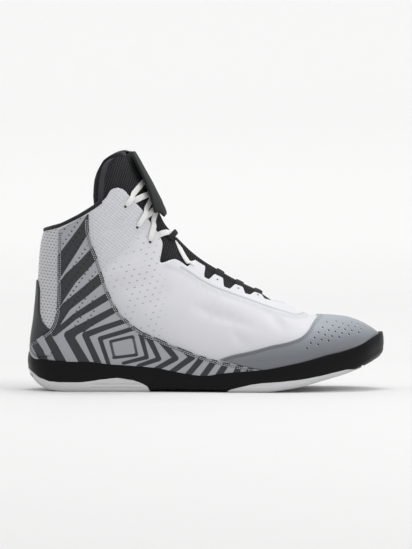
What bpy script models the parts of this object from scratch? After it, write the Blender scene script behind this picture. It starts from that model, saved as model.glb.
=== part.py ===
"""Wrestling shoe for the right foot, standing empty on its sole.

Metres, +Z up. The toe points along +X and the outer (lateral) side faces -Y. The origin is on the
ground under the middle of the shoe's box. The upper is worked out as a fan of sections: each one runs
from the feather line, or from the back of the heel, up to the ridge of the instep, one half per side.
Every overlay, the tongue, the flap over it, the lace and the hollow of the sole use that same surface.
"""
import math

import bmesh
import bpy
import numpy as np

MM = 0.001

# Driving sizes
LENGTH = 285 * MM            # heel to toe, over the sole
BALL_WIDTH = 98 * MM         # widest across the ball of the sole
HEEL_WIDTH = 67 * MM         # across the heel of the sole
SHAFT_WIDTH = 77 * MM        # across the collar
SHAFT_HEIGHT = 162 * MM      # ground to the collar's peak beside the tongue
SIDEWALL = 23.4 * MM         # height of the black wall at the heel
TOE_SPRING = 28 * MM         # lift of the sole's underside at the tip of the toe
HEEL_ROLL = 15.6 * MM        # lift of the sole's underside at the back of the heel
ARCH_LIFT = 2.8 * MM         # gap under the waist
HEEL_STACK = 13 * MM         # ground to the upper's lower edge at the heel
FORE_STACK = 9.5 * MM        # the same at the forefoot
RIM_WALL = 2.2 * MM          # thickness of the sole's raised wall
HEEL_TUCK = 7.5 * MM         # how far the heel of the last curves in under itself
WALL = 2.0 * MM              # upper: mesh, foam and lining
OVERLAY = 0.9 * MM           # thickness of an overlay
TONGUE = 3.4 * MM            # padded tongue
FLAP = 2.6 * MM              # flap over the lacing
FLAP_WIDTH = 37 * MM
INSOLE = 3.0 * MM
INSOLE_GAP = 2.0 * MM        # from the insole's edge to the upper's wall
LACE_WIDTH = 4.5 * MM
LACE = 1.0 * MM
EYELET = 3.4 * MM            # diameter of a lace hole
BINDING = 3.0 * MM           # diameter of the rolled edge of the collar
HEEL_POD = 7.6 * MM          # height of the white pad at the middle of the heel
FORE_POD = 6.8 * MM          # height of the white pad under the ball
RIB_GROOVE = 0.8 * MM        # depth of the grooves along the side of the heel pad
TREAD_GROOVE = 1.6 * MM      # depth of the grooves under both pads
TREAD_WIDTH = 2.4 * MM
GAP = 0.3 * MM               # between pieces that meet
TONGUE_GAP = 0.95 * MM        # between the tongue and the inside of the upper
MERGE = 0.01 * MM

# The sole's plan: shares of the local width on each side of the axis, heel to toe. "ball" says how
# far that width has gone over from HEEL_WIDTH to BALL_WIDTH.
TOE_LEAN = 0.088
PLAN = [
    ("along", "lateral", "medial", "ball"),
    (0.00, 0.000, 0.000, 0.0),
    (0.02, 0.281, 0.281, 0.0),
    (0.07, 0.450, 0.450, 0.0),
    (0.15, 0.500, 0.500, 0.0),
    (0.25, 0.500, 0.480, 0.0),
    (0.35, 0.490, 0.425, 0.15),
    (0.45, 0.430, 0.320, 0.7),
    (0.55, 0.437, 0.333, 1.0),
    (0.63, 0.472, 0.409, 1.0),
    (0.70, 0.485, 0.480, 1.0),
    (0.76, 0.472, 0.512, 1.0),
    (0.82, 0.421, 0.508, 1.0),
    (0.88, 0.352, 0.484, 1.0),
    (0.94, 0.234, 0.420, 1.0),
    (0.98, 0.078, 0.308, 1.0),
    (1.00, -TOE_LEAN, TOE_LEAN, 1.0),
]

# The sole from the side, as shares of LENGTH, HEEL_ROLL, TOE_SPRING and SIDEWALL.
SOLE_SIDE = [
    ("along", "roll", "spring", "wall"),
    (-0.502, 1.00, 0.000, 0.667),
    (-0.480, 0.54, 0.000, 0.800),
    (-0.460, 0.26, 0.000, 0.920),
    (-0.438, 0.11, 0.000, 0.980),
    (-0.410, 0.03, 0.000, 1.000),
    (-0.381, 0.00, 0.000, 1.000),
    (-0.227, 0.00, 0.000, 1.000),
    (-0.171, 0.00, 0.000, 0.923),
    (-0.115, 0.00, 0.000, 0.760),
    (-0.059, 0.00, 0.000, 0.624),
    (-0.003, 0.00, 0.000, 0.543),
    (0.045, 0.00, 0.000, 0.624),
    (0.110, 0.00, 0.000, 0.700),
    (0.166, 0.00, 0.007, 0.760),
    (0.222, 0.00, 0.082, 0.800),
    (0.278, 0.00, 0.193, 0.820),
    (0.334, 0.00, 0.350, 0.820),
    (0.390, 0.00, 0.507, 0.790),
    (0.438, 0.00, 0.690, 0.775),
    (0.466, 0.00, 0.820, 0.800),
    (0.489, 0.00, 0.946, 0.800),
    (0.506, 0.00, 1.030, 0.760),
]

# Levels of the sole's wall from the underside to the rim: share of the wall's height and inset.
SOLE_LEVELS = [
    ("share", "inset"),
    (0.00, 3.2 * MM),
    (0.10, 1.2 * MM),
    (0.35, 0.1 * MM),
    (0.75, 0.0 * MM),
    (1.00, 0.7 * MM),
]

# Stations of the upper: 0 at the toe, 1 at the heel's lower corner, 2 at the collar, above 2 the
# tongue alone. The ridge and the back line are shares of LENGTH and of SHAFT_HEIGHT.
RIDGE = [
    ("station", "along", "height"),
    (0.00, 0.487, 0.262),
    (0.05, 0.476, 0.284),
    (0.10, 0.458, 0.306),
    (0.15, 0.430, 0.332),
    (0.20, 0.393, 0.353),
    (0.25, 0.348, 0.362),
    (0.30, 0.298, 0.368),
    (0.35, 0.247, 0.402),
    (0.40, 0.194, 0.452),
    (0.45, 0.141, 0.497),
    (0.50, 0.087, 0.541),
    (0.55, 0.040, 0.588),
    (0.60, 0.000, 0.630),
    (0.65, -0.033, 0.672),
    (0.70, -0.059, 0.714),
    (0.75, -0.078, 0.751),
    (0.80, -0.092, 0.785),
    (0.85, -0.104, 0.817),
    (0.90, -0.112, 0.844),
    (1.00, -0.125, 0.894),
    (1.10, -0.129, 0.909),
    (1.27, -0.134, 0.931),
    (1.40, -0.140, 0.951),
    (1.55, -0.147, 0.975),
    (1.70, -0.154, 1.000),
    (1.83, -0.160, 1.020),
    (2.00, -0.170, 1.052),
    (2.15, -0.181, 1.086),
    (2.35, -0.195, 1.131),
    (2.60, -0.213, 1.183),
]
BACK = [
    ("station", "along", "height"),
    (1.00, -0.463, 0.080),
    (1.05, -0.477, 0.101),
    (1.10, -0.485, 0.128),
    (1.17, -0.491, 0.185),
    (1.27, -0.489, 0.254),
    (1.40, -0.481, 0.353),
    (1.55, -0.474, 0.477),
    (1.70, -0.470, 0.590),
    (1.83, -0.466, 0.689),
    (1.93, -0.460, 0.753),
    (2.00, -0.454, 0.788),
    (2.15, -0.450, 0.847),
    (2.35, -0.443, 0.946),
    (2.60, -0.432, 1.074),
]

# Half widths as shares of the local width, which goes from BALL_WIDTH to SHAFT_WIDTH with "shaft".
# "widest" is the height share of the widest line, "fullness" the roundness above it, "lean" the
# ridge's shift to the inner side as a share of BALL_WIDTH.
SECTIONS = [
    ("station", "lateral", "medial", "shaft", "widest", "fullness", "lean"),
    (0.00, 0.100, 0.100, 0.00, 0.45, 2.30, TOE_LEAN),
    (0.10, 0.250, 0.270, 0.00, 0.45, 2.35, 0.078),
    (0.20, 0.350, 0.400, 0.00, 0.45, 2.45, 0.062),
    (0.25, 0.405, 0.430, 0.00, 0.43, 2.45, 0.052),
    (0.30, 0.448, 0.450, 0.00, 0.40, 2.35, 0.042),
    (0.35, 0.480, 0.462, 0.00, 0.36, 2.20, 0.034),
    (0.40, 0.472, 0.430, 0.00, 0.32, 2.05, 0.029),
    (0.45, 0.450, 0.398, 0.05, 0.30, 1.95, 0.026),
    (0.50, 0.432, 0.388, 0.15, 0.28, 1.88, 0.023),
    (0.55, 0.429, 0.396, 0.40, 0.28, 1.84, 0.020),
    (0.60, 0.434, 0.415, 0.65, 0.29, 1.82, 0.017),
    (0.65, 0.446, 0.434, 0.85, 0.30, 1.82, 0.014),
    (0.70, 0.458, 0.450, 1.00, 0.31, 1.84, 0.011),
    (0.80, 0.455, 0.450, 1.00, 0.34, 1.90, 0.006),
    (0.90, 0.450, 0.448, 1.00, 0.37, 1.95, 0.002),
    (1.00, 0.446, 0.446, 1.00, 0.40, 2.00, 0.000),
    (1.25, 0.448, 0.448, 1.00, 0.43, 2.05, 0.000),
    (1.50, 0.460, 0.460, 1.00, 0.45, 2.10, 0.000),
    (1.75, 0.476, 0.476, 1.00, 0.47, 2.10, 0.000),
    (2.00, 0.492, 0.492, 1.00, 0.48, 2.10, 0.000),
    (2.60, 0.510, 0.510, 1.00, 0.48, 2.10, 0.000),
]
HEEL_FULLNESS = 2.6          # roundness below the widest line: 2 is an ellipse, more is squarer

# The throat's edge: half its width between the lace tabs, as shares of SHAFT_WIDTH.
THROAT = [
    ("station", "half"),
    (0.370, 0.05),
    (0.380, 0.12),
    (0.395, 0.18),
    (0.410, 0.218),
    (0.440, 0.240),
    (0.470, 0.249),
    (0.530, 0.247),
    (0.580, 0.232),
    (0.640, 0.218),
    (0.700, 0.224),
    (0.755, 0.290),
    (0.780, 0.250),
    (0.800, 0.222),
    (0.850, 0.208),
    (1.000, 0.228),
    (1.200, 0.247),
    (1.400, 0.279),
    (1.700, 0.344),
    (2.000, 0.403),
    (2.200, 0.420),
]
# Scalloped lace tabs of the lower throat: stations of both sides and the half width left there.
TABS = [
    ("front", "rear", "half"),
    (0.431, 0.457, 0.170),
    (0.478, 0.506, 0.162),
    (0.532, 0.566, 0.156),
    (0.592, 0.642, 0.120),
]
TAB_SLOPE = 0.006            # stations over which a tab's side rises
# Lace holes, toe to collar: station and distance from the ridge as a share of SHAFT_WIDTH.
EYELETS = [
    ("station", "half"),
    (0.444, 0.228),
    (0.492, 0.221),
    (0.549, 0.214),
    (0.617, 0.184),
    (0.885, 0.273),
    (1.200, 0.318),
    (1.690, 0.392),
]

# Outlines from the side, as shares of LENGTH and of SHAFT_HEIGHT.
COLLAR_EDGE = [
    ("along", "height"),
    (-0.470, 0.780), (-0.438, 0.795), (-0.410, 0.807), (-0.381, 0.830), (-0.353, 0.854),
    (-0.331, 0.877), (-0.311, 0.899), (-0.297, 0.916), (-0.283, 0.936), (-0.275, 0.951),
    (-0.269, 0.970), (-0.264, 0.984), (-0.255, 0.994), (-0.244, 0.998), (-0.230, 0.990),
    (-0.215, 0.968), (-0.207, 0.940), (-0.200, 0.920),
]
TOE_CAP_EDGE = [
    ("along", "height"),
    (0.030, 0.158), (0.068, 0.178), (0.124, 0.203), (0.180, 0.226), (0.230, 0.248),
    (0.256, 0.263), (0.273, 0.279), (0.284, 0.299), (0.292, 0.321), (0.299, 0.341),
    (0.307, 0.358), (0.320, 0.372), (0.332, 0.390),
]
TOE_CAP_FOOT = [
    ("along", "height"),
    (0.160, 0.107), (0.124, 0.124), (0.096, 0.134), (0.068, 0.148), (0.042, 0.155),
]
QUARTER_FRONT = [
    ("along", "height"),
    (-0.333, 0.900), (-0.324, 0.837), (-0.320, 0.788), (-0.314, 0.738), (-0.306, 0.689),
    (-0.297, 0.640), (-0.278, 0.541), (-0.255, 0.442), (-0.224, 0.368), (-0.185, 0.314),
    (-0.129, 0.262), (-0.073, 0.222), (-0.017, 0.178), (0.028, 0.150), (0.064, 0.141),
    (0.096, 0.127), (0.124, 0.117), (0.156, 0.100),
]
QUARTER_REAR = [
    ("along", "height"),
    (-0.520, 0.238), (-0.494, 0.242), (-0.468, 0.257), (-0.450, 0.280), (-0.431, 0.308),
    (-0.423, 0.328), (-0.411, 0.427), (-0.410, 0.600), (-0.410, 0.900),
]
COUNTER_TOP = [
    ("along", "height"),
    (-0.520, 0.560), (-0.478, 0.560), (-0.469, 0.520), (-0.465, 0.442), (-0.464, 0.383),
    (-0.457, 0.343), (-0.443, 0.320), (-0.433, 0.309),
]
COUNTER_FOOT = [
    ("along", "height"),
    (-0.450, 0.283), (-0.468, 0.260), (-0.494, 0.245), (-0.520, 0.241),
]
EYESTAY_FOOT = [
    ("along", "height"),
    (-0.078, 0.660), (-0.074, 0.622), (-0.045, 0.576), (-0.010, 0.533), (0.040, 0.487),
    (0.096, 0.455), (0.152, 0.422), (0.208, 0.395), (0.264, 0.378), (0.284, 0.372),
]
TONGUE_EDGE = [
    ("along", "height"),
    (-0.309, 0.917), (-0.309, 0.985), (-0.304, 1.045), (-0.294, 1.094), (-0.278, 1.131),
    (-0.258, 1.158), (-0.238, 1.172), (-0.220, 1.172), (-0.206, 1.160),
]
# Where the black of the sole stops over the white pads. The height is a share of the pad's own.
HEEL_POD_TOP = [
    ("along", "height"),
    (-0.520, 2.50), (-0.494, 2.24), (-0.485, 1.99), (-0.466, 1.47), (-0.438, 1.10),
    (-0.410, 1.00), (-0.353, 1.00), (-0.325, 1.10), (-0.297, 1.27), (-0.247, 1.48),
    (-0.202, 1.22), (-0.179, 0.92), (-0.163, 0.58), (-0.157, 0.15), (-0.156, 0.0),
]
FORE_POD_TOP = [
    ("along", "height"),
    (0.058, 0.0), (0.060, 0.18), (0.068, 0.35), (0.096, 0.65), (0.124, 0.94),
    (0.152, 1.12), (0.208, 1.29), (0.264, 1.53), (0.320, 1.94), (0.376, 2.47),
    (0.404, 2.71), (0.424, 2.88), (0.440, 3.20),
]
WAIST = [
    ("along", "share"),
    (-0.150, 0.45), (-0.115, 0.85), (-0.045, 1.0), (0.020, 0.85), (0.052, 0.45),
]

COLOURS = {
    "black": ((0.012, 0.012, 0.014, 1), 0.55),
    "white_rubber": ((0.86, 0.86, 0.86, 1), 0.5),
    "white_mesh": ((0.80, 0.80, 0.82, 1), 0.75),
    "grey": ((0.16, 0.18, 0.21, 1), 0.6),
    "light_grey": ((0.38, 0.40, 0.42, 1), 0.6),
    "dark_grey": ((0.05, 0.05, 0.055, 1), 0.65),
    "white_lace": ((0.85, 0.85, 0.85, 1), 0.7),
}

LATERAL, MEDIAL = -1.0, 1.0


def values(table, name):
    """One named column of a table."""
    place = table[0].index(name)
    return np.array([row[place] for row in table[1:]], dtype=float)


def smooth(knots, heights, at):
    """Cubic curve through the knots; each knot's slope is taken from its neighbours."""
    at = np.clip(np.asarray(at, dtype=float), knots[0], knots[-1])
    slopes = np.gradient(heights, knots)
    i = np.clip(np.searchsorted(knots, at) - 1, 0, len(knots) - 2)
    step = knots[i + 1] - knots[i]
    t = (at - knots[i]) / step
    return ((2 * t ** 3 - 3 * t ** 2 + 1) * heights[i] + (t ** 3 - 2 * t ** 2 + t) * step * slopes[i]
            + (3 * t ** 2 - 2 * t ** 3) * heights[i + 1] + (t ** 3 - t ** 2) * step * slopes[i + 1])


def follow(table, name, at):
    """A named column read as a smooth curve over the table's first column."""
    return smooth(values(table, table[0][0]), values(table, name), at)


def ease(value, low, high):
    """0 below low, 1 above high, and a soft step between."""
    t = np.clip((np.asarray(value, dtype=float) - low) / (high - low), 0, 1)
    return t * t * (3 - 2 * t)


def plan_half(turn, side):
    """Half width of the sole; turn goes from 0 at the toe to pi at the heel, so both ends are round."""
    knots = math.pi - np.arccos(1 - 2 * values(PLAN, "along"))[::-1]
    name = "lateral" if side < 0 else "medial"
    share = smooth(knots, values(PLAN, name)[::-1], turn)
    ball = smooth(knots, values(PLAN, "ball")[::-1], turn)
    return share * (HEEL_WIDTH + (BALL_WIDTH - HEEL_WIDTH) * ball)


def plan_point(turn, side, inset):
    """Point of the sole's outline, moved inwards by inset along the outline's own normal."""
    def raw(angle):
        return LENGTH / 2 * np.cos(angle), side * plan_half(angle, side)
    turn = np.asarray(turn, dtype=float)
    step = 0.004
    x0, y0 = raw(np.clip(turn - step, 0, math.pi))
    x1, y1 = raw(np.clip(turn + step, 0, math.pi))
    x, y = raw(turn)
    dx, dy = x1 - x0, y1 - y0
    at_end = (turn < 1e-6) | (turn > math.pi - 1e-6)
    dx = np.where(at_end, 0, dx)
    size = np.hypot(dx, dy)
    return x - inset * side * (dy / size), y + inset * side * (dx / size)


def sole_floor(x):
    """Height of the sole's underside."""
    roll = np.maximum(follow(SOLE_SIDE, "roll", x / LENGTH), 0)
    spring = np.maximum(follow(SOLE_SIDE, "spring", x / LENGTH), 0)
    return roll * HEEL_ROLL + spring * TOE_SPRING


def sole_rim(x):
    """Height of the sole's raised rim."""
    return sole_floor(x) + follow(SOLE_SIDE, "wall", x / LENGTH) * SIDEWALL


def feather_height(x):
    """Height of the upper's lower edge, on the floor of the sole's hollow."""
    stack = HEEL_STACK + (FORE_STACK - HEEL_STACK) * ease(x, -0.23 * LENGTH, -0.03 * LENGTH)
    return stack + follow(SOLE_SIDE, "spring", x / LENGTH) * TOE_SPRING


def foot_point(station, side):
    """Where a section starts: on the feather line up to station 1, then up the back of the heel."""
    low = np.clip(station, 0, 1)
    inset = RIM_WALL + GAP + HEEL_TUCK * ease(low, 0.50, 0.94)
    x, y = plan_point(low * math.pi, side, inset)
    z = feather_height(x)
    up = station > 1
    heel_x, heel_z = LENGTH * values(BACK, "along")[0], SHAFT_HEIGHT * values(BACK, "height")[0]
    x = x + (heel_x - x) * ease(low, 0.9, 1.0) * (low > 0.9)
    z = z + (heel_z - z) * ease(low, 0.9, 1.0) * (low > 0.9)
    x = np.where(up, follow(BACK, "along", station) * LENGTH, x)
    z = np.where(up, follow(BACK, "height", station) * SHAFT_HEIGHT, z)
    return x, np.where(station >= 1, 0, y), z


def half_width(station, side):
    """The section's half width at its widest line."""
    local = BALL_WIDTH + (SHAFT_WIDTH - BALL_WIDTH) * follow(SECTIONS, "shaft", station)
    wide = follow(SECTIONS, "lateral" if side < 0 else "medial", station) * local
    _, foot_y, _ = foot_point(station, side)
    low = side * (foot_y - follow(SECTIONS, "lean", station) * BALL_WIDTH)
    own = ease(station, 0.08, 0.30)
    return low * 1.02 * (1 - own) + wide * own, low


def outer(station, tau, side):
    """Point of the upper's outer face.

    tau is -1 at the feather line, 0 on the widest line and 1 on the ridge. Each half section is two
    stretches of superellipse. The lower one starts where it has the feather line's half width, so it
    is nearly straight in the forefoot and closes round the back of the heel.
    """
    station, tau = np.broadcast_arrays(np.asarray(station, float), np.asarray(tau, float))
    wide, low = half_width(station, side)
    widest = follow(SECTIONS, "widest", station)
    tiny = 0.001 * MM
    ratio = np.clip(np.where(wide > tiny, low / np.maximum(wide, tiny), 1), 0, 0.98)
    start = (1 - ratio ** HEEL_FULLNESS) ** (1 / HEEL_FULLNESS)
    down = np.clip(-tau, 0, 1)
    bend = start ** 4
    drop = (1 - bend) * down + bend * np.sin(down * math.pi / 2) ** (2 / HEEL_FULLNESS)
    below = (wide * np.clip(1 - (start * drop) ** HEEL_FULLNESS, 0, 1) ** (1 / HEEL_FULLNESS)
             + (low - ratio * wide) * drop ** 2)
    power = 2 / follow(SECTIONS, "fullness", station)
    up = np.clip(tau, 0, 1) * math.pi / 2
    above = wide * np.clip(np.cos(up), 0, 1) ** power
    width = np.where(tau < 0, below, above)
    share = np.where(tau < 0, widest * (1 - drop), widest + (1 - widest) * np.sin(up) ** power)
    foot_x, _, foot_z = foot_point(station, side)
    ridge_x = follow(RIDGE, "along", station) * LENGTH
    ridge_z = follow(RIDGE, "height", station) * SHAFT_HEIGHT
    lean = follow(SECTIONS, "lean", station) * BALL_WIDTH
    return np.stack([foot_x + (ridge_x - foot_x) * share, lean + side * width,
                     foot_z + (ridge_z - foot_z) * share], axis=-1)


def shifted(station, tau, side, out):
    """The outer face moved by out along its own normal; out is negative towards the foot."""
    station, tau = np.broadcast_arrays(np.asarray(station, float), np.asarray(tau, float))
    step = 0.01
    along = (outer(np.clip(station + step, 0, 2.6), tau, side)
             - outer(np.clip(station - step, 0, 2.6), tau, side))
    across = (outer(station, np.clip(tau + step, -1, 1), side)
              - outer(station, np.clip(tau - step, -1, 1), side))
    normal = np.cross(across, along) * -side
    middle = (tau > 0.999) | ((tau < -0.999) & (station >= 1)) | (station < 1e-6)
    normal[..., 1] = np.where(middle, 0, normal[..., 1])
    size = np.linalg.norm(normal, axis=-1, keepdims=True)
    return outer(station, tau, side) + normal / size * np.asarray(out, dtype=float)[..., None]


def tau_at(station, distance, side):
    """tau of the point above the widest line that lies distance beside the ridge."""
    wide, _ = half_width(station, side)
    power = follow(SECTIONS, "fullness", station) / 2
    return np.arccos(np.clip(distance / wide, 0, 1) ** power) * 2 / math.pi


def throat_half(station):
    """Half width of the throat, narrowed where a lace tab stands out."""
    half = follow(THROAT, "half", station)
    for front, rear, tip in TABS[1:]:
        tab = (ease(station, front - TAB_SLOPE, front + TAB_SLOPE)
               * (1 - ease(station, rear - TAB_SLOPE, rear + TAB_SLOPE)))
        half = half + (tip - half) * tab
    return half * SHAFT_WIDTH


def material(name):
    """A plain finish."""
    made = bpy.data.materials.get(name)
    if made is None:
        made = bpy.data.materials.new(name)
        made.use_nodes = True
        shader = made.node_tree.nodes["Principled BSDF"]
        shader.inputs["Base Color"].default_value = COLOURS[name][0]
        shader.inputs["Roughness"].default_value = COLOURS[name][1]
        made.diffuse_color = COLOURS[name][0]
    return made


def place(mesh, name, collection, finish=None):
    """Put a mesh into the scene as a named object."""
    made = bpy.data.objects.new(name, mesh)
    collection.objects.link(made)
    if finish:
        mesh.materials.append(material(finish))
    else:
        made.hide_render = True
        made.display_type = "WIRE"
    return made


def cover_quad(shape, ring, split):
    """One quad, or the two triangles on either side of its first diagonal."""
    if split:
        shape.faces.new(ring[:3])
        shape.faces.new((ring[0], ring[2], ring[3]))
    else:
        shape.faces.new(ring)


def grid_mesh(name, points, split=False):
    """Faces over a grid of points, with coincident points merged and the outside facing out.

    Surfaces that lie over each other are split along the same diagonals, so that they stay parallel.
    """
    rows, columns = points.shape[:2]
    mesh = bpy.data.meshes.new(name)
    shape = bmesh.new()
    verts = [shape.verts.new(point) for point in points.reshape(-1, 3)]
    for i in range(rows - 1):
        for j in range(columns - 1):
            low, high = i * columns + j, (i + 1) * columns + j
            cover_quad(shape, (verts[low], verts[low + 1], verts[high + 1], verts[high]), split)
    bmesh.ops.remove_doubles(shape, verts=shape.verts, dist=MERGE)
    shape.to_mesh(mesh)
    shape.free()
    return mesh


def half_columns(taus):
    """Signed columns over the shoe: the outer side upwards, then the inner side downwards."""
    return [(LATERAL, tau) for tau in taus] + [(MEDIAL, tau) for tau in reversed(taus) if tau < 0.999]


def surface_points(stations, columns, out):
    """Points of the shifted outer face, a row for each station and a column for each (side, tau)."""
    stations = np.array(stations, dtype=float)
    made = [shifted(stations, np.full(len(stations), tau), side, out) for side, tau in columns]
    return np.stack(made, axis=1)


def solidify(thing, thickness, inwards):
    """Give an open surface its wall."""
    wall = thing.modifiers.new("wall", "SOLIDIFY")
    wall.thickness = thickness
    wall.offset = -1 if inwards else 1
    wall.use_even_offset = True
    return wall


def boolean(thing, cutter, operation):
    """Cut, join or intersect with another object."""
    step = thing.modifiers.new(operation.lower(), "BOOLEAN")
    step.operation = operation
    step.solver = "EXACT"
    step.object = cutter
    return step


def side_prism(name, outline, half_depth):
    """An outline seen from the side, carried across the shoe, as a closed mesh for cutting."""
    curve = bpy.data.curves.new(name, "CURVE")
    curve.dimensions = "2D"
    curve.fill_mode = "BOTH"
    curve.extrude = half_depth
    spline = curve.splines.new("POLY")
    spline.points.add(len(outline) - 1)
    for point, (x, z) in zip(spline.points, outline):
        point.co = (x, z, 0, 1)
    spline.use_cyclic_u = True
    drawn = bpy.data.objects.new(name + "_outline", curve)
    bpy.context.scene.collection.objects.link(drawn)
    bpy.context.view_layer.update()
    mesh = bpy.data.meshes.new_from_object(drawn.evaluated_get(bpy.context.evaluated_depsgraph_get()))
    bpy.data.objects.remove(drawn)
    bpy.data.curves.remove(curve)
    shape = bmesh.new()
    shape.from_mesh(mesh)
    bmesh.ops.remove_doubles(shape, verts=shape.verts, dist=MERGE)
    bmesh.ops.dissolve_degenerate(shape, edges=shape.edges, dist=MERGE)
    for vert in shape.verts:
        vert.co = (vert.co.x, -vert.co.z, vert.co.y)
    bmesh.ops.recalc_face_normals(shape, faces=shape.faces)
    shape.to_mesh(mesh)
    shape.free()
    made = place(mesh, name, CUTTERS)
    return made


def drawn_line(table, height=None, fine=1):
    """A side outline of the tables in metres, with fine points for each stretch."""
    x = values(table, "along")
    z = values(table, table[0][1])
    length = np.concatenate([[0], np.cumsum(np.hypot(np.diff(x), np.diff(z)))])
    at = np.interp(np.arange((len(x) - 1) * fine + 1) / fine, np.arange(len(x)), length)
    tall = SHAFT_HEIGHT if height is None else height
    return list(zip(smooth(length, x, at) * LENGTH, smooth(length, z, at) * tall))


def corners(*shares):
    """Plain corner points of a side outline, as shares of LENGTH and SHAFT_HEIGHT."""
    return [(x * LENGTH, z * SHAFT_HEIGHT) for x, z in shares]


def strip_caps(shape, left, right, flip):
    """Close a loop that is made of two facing lines of points with strips across it."""
    for i in range(len(left) - 1):
        ring = [left[i], left[i + 1], right[i + 1], right[i]]
        if flip:
            ring.reverse()
        kept = [vert for n, vert in enumerate(ring) if vert not in ring[:n]]
        if len(kept) > 2:
            shape.faces.new(kept)


def stacked(name, layers, collection, finish=None):
    """A closed solid from loops of points that lie over each other.

    Each loop is given as its outer-side line and its inner-side line, toe to heel; the ends meet.
    """
    mesh = bpy.data.meshes.new(name)
    shape = bmesh.new()
    rings = []
    for outer_line, inner_line in layers:
        left = [shape.verts.new(point) for point in outer_line]
        right = [left[0]] + [shape.verts.new(point) for point in inner_line[1:-1]] + [left[-1]]
        rings.append((left, right))
    for (left0, right0), (left1, right1) in zip(rings, rings[1:]):
        for low, high, flip in ((left0, left1, False), (right0, right1, True)):
            for i in range(len(low) - 1):
                ring = [low[i], high[i], high[i + 1], low[i + 1]]
                shape.faces.new(ring[::-1] if flip else ring)
    strip_caps(shape, *rings[0], flip=False)
    strip_caps(shape, *rings[-1], flip=True)
    bmesh.ops.recalc_face_normals(shape, faces=shape.faces)
    shape.to_mesh(mesh)
    shape.free()
    return place(mesh, name, collection, finish)


SOLE_TURNS = np.linspace(0, math.pi, 37)


def sole_block(name, grow, collection):
    """The sole's outer form filled to its rim; grow enlarges it all round."""
    layers = []
    for share, inset in SOLE_LEVELS[1:]:
        lines = []
        for side in (LATERAL, MEDIAL):
            x, y = plan_point(SOLE_TURNS, side, inset - grow)
            floor, rim = sole_floor(x), sole_rim(x)
            z = floor + (rim - floor) * share + (grow if share > 0.99 else 0)
            lines.append(np.stack([x, y, z], axis=1))
        lines[1][0], lines[1][-1] = lines[0][0], lines[0][-1]
        layers.append(lines)
    return stacked(name, layers, collection)


def pad_top(top, height, lift):
    """Upper edge of a white pad seen from the side; lift leaves the gap over it and at its ends."""
    line = drawn_line(top, height)
    line = [(x, z + lift) for x, z in line]
    return [(line[0][0] - lift, line[0][1])] + line[1:-1] + [(line[-1][0] + lift, line[-1][1])]


def under_outline(lines):
    """Close upper edges, given heel to toe, far under the ground."""
    points = [point for line in lines for point in line]
    low = -12 * MM
    return [(points[0][0], low)] + points + [(points[-1][0], low)]


def copy_of(thing, name, collection, finish):
    """A second object with its own copy of a mesh."""
    return place(thing.data.copy(), name, collection, finish)


def make_sole(hollow):
    """The black unit and the two white pads, all cut from one outer form so that their sides are flush."""
    block = sole_block("sole_form", 0.0, CUTTERS)
    tread = make_tread_cutters()
    pads = (("heel_pod", HEEL_POD_TOP, HEEL_POD), ("forefoot_pod", FORE_POD_TOP, FORE_POD))
    for name, top, height in pads:
        pod = copy_of(block, name, PARTS, "white_rubber")
        body = side_prism(name + "_body", under_outline([pad_top(top, height, 0.0)]), BALL_WIDTH)
        boolean(pod, body, "INTERSECT")
        for cutter in tread[name]:
            boolean(pod, cutter, "DIFFERENCE")
    sole = copy_of(block, "sole_unit", PARTS, "black")
    edges = [pad_top(HEEL_POD_TOP, HEEL_POD, GAP), drawn_line(WAIST, ARCH_LIFT),
             pad_top(FORE_POD_TOP, FORE_POD, GAP)]
    boolean(sole, side_prism("under_room", under_outline(edges), BALL_WIDTH), "DIFFERENCE")
    boolean(sole, hollow, "DIFFERENCE")


def bar(name, middle, size):
    """A plain box, made from a cube."""
    mesh = bpy.data.meshes.new(name)
    shape = bmesh.new()
    bmesh.ops.create_cube(shape, size=1)
    for vert in shape.verts:
        vert.co = [middle[k] + vert.co[k] * size[k] for k in range(3)]
    shape.to_mesh(mesh)
    shape.free()
    return place(mesh, name, CUTTERS)


def rib_cutter(name, side, height, turns):
    """A thin band that follows the sole's outline and bites into the side of the heel pad."""
    inside = [plan_point(turn, side, RIB_GROOVE) for turn in turns]
    outside = [plan_point(turn, side, -3 * MM) for turn in turns]
    rows = []
    for level in (height - 0.45 * MM, height + 0.45 * MM):
        rows.append([(float(x), float(y), level) for x, y in inside + outside[::-1]])
    mesh = bpy.data.meshes.new(name)
    shape = bmesh.new()
    low = [shape.verts.new(point) for point in rows[0]]
    high = [shape.verts.new(point) for point in rows[1]]
    count, last = len(turns), len(low)
    for i in range(last):
        j = (i + 1) % last
        shape.faces.new((low[i], low[j], high[j], high[i]))
    for ring in (low, high):
        for i in range(count - 1):
            shape.faces.new((ring[i], ring[i + 1], ring[last - 2 - i], ring[last - 1 - i]))
    bmesh.ops.recalc_face_normals(shape, faces=shape.faces)
    shape.to_mesh(mesh)
    shape.free()
    return place(mesh, name, CUTTERS)


def make_tread_cutters():
    """Grooves across the ground faces of both pads, and the ribs on the heel pad's sides."""
    cutters = {"heel_pod": [], "forefoot_pod": []}
    deep = 2 * TREAD_GROOVE
    for share in (-0.39, -0.33, -0.27):
        cutters["heel_pod"].append(bar("heel_groove", (share * LENGTH, 0, 0), (TREAD_WIDTH, BALL_WIDTH, deep)))
    for share in (0.12, 0.19, 0.26):
        x = share * LENGTH
        cutters["forefoot_pod"].append(
            bar("fore_groove", (x, 0, float(sole_floor(x))), (TREAD_WIDTH, 1.2 * BALL_WIDTH, deep)))
    turns = [math.acos(2 * share) for share in (-0.19, -0.23, -0.27, -0.31)]
    for side in (LATERAL, MEDIAL):
        for level in (0.42, 0.78):
            cutters["heel_pod"].append(rib_cutter("rib_groove", side, level * HEEL_POD, turns))
    return cutters


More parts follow.
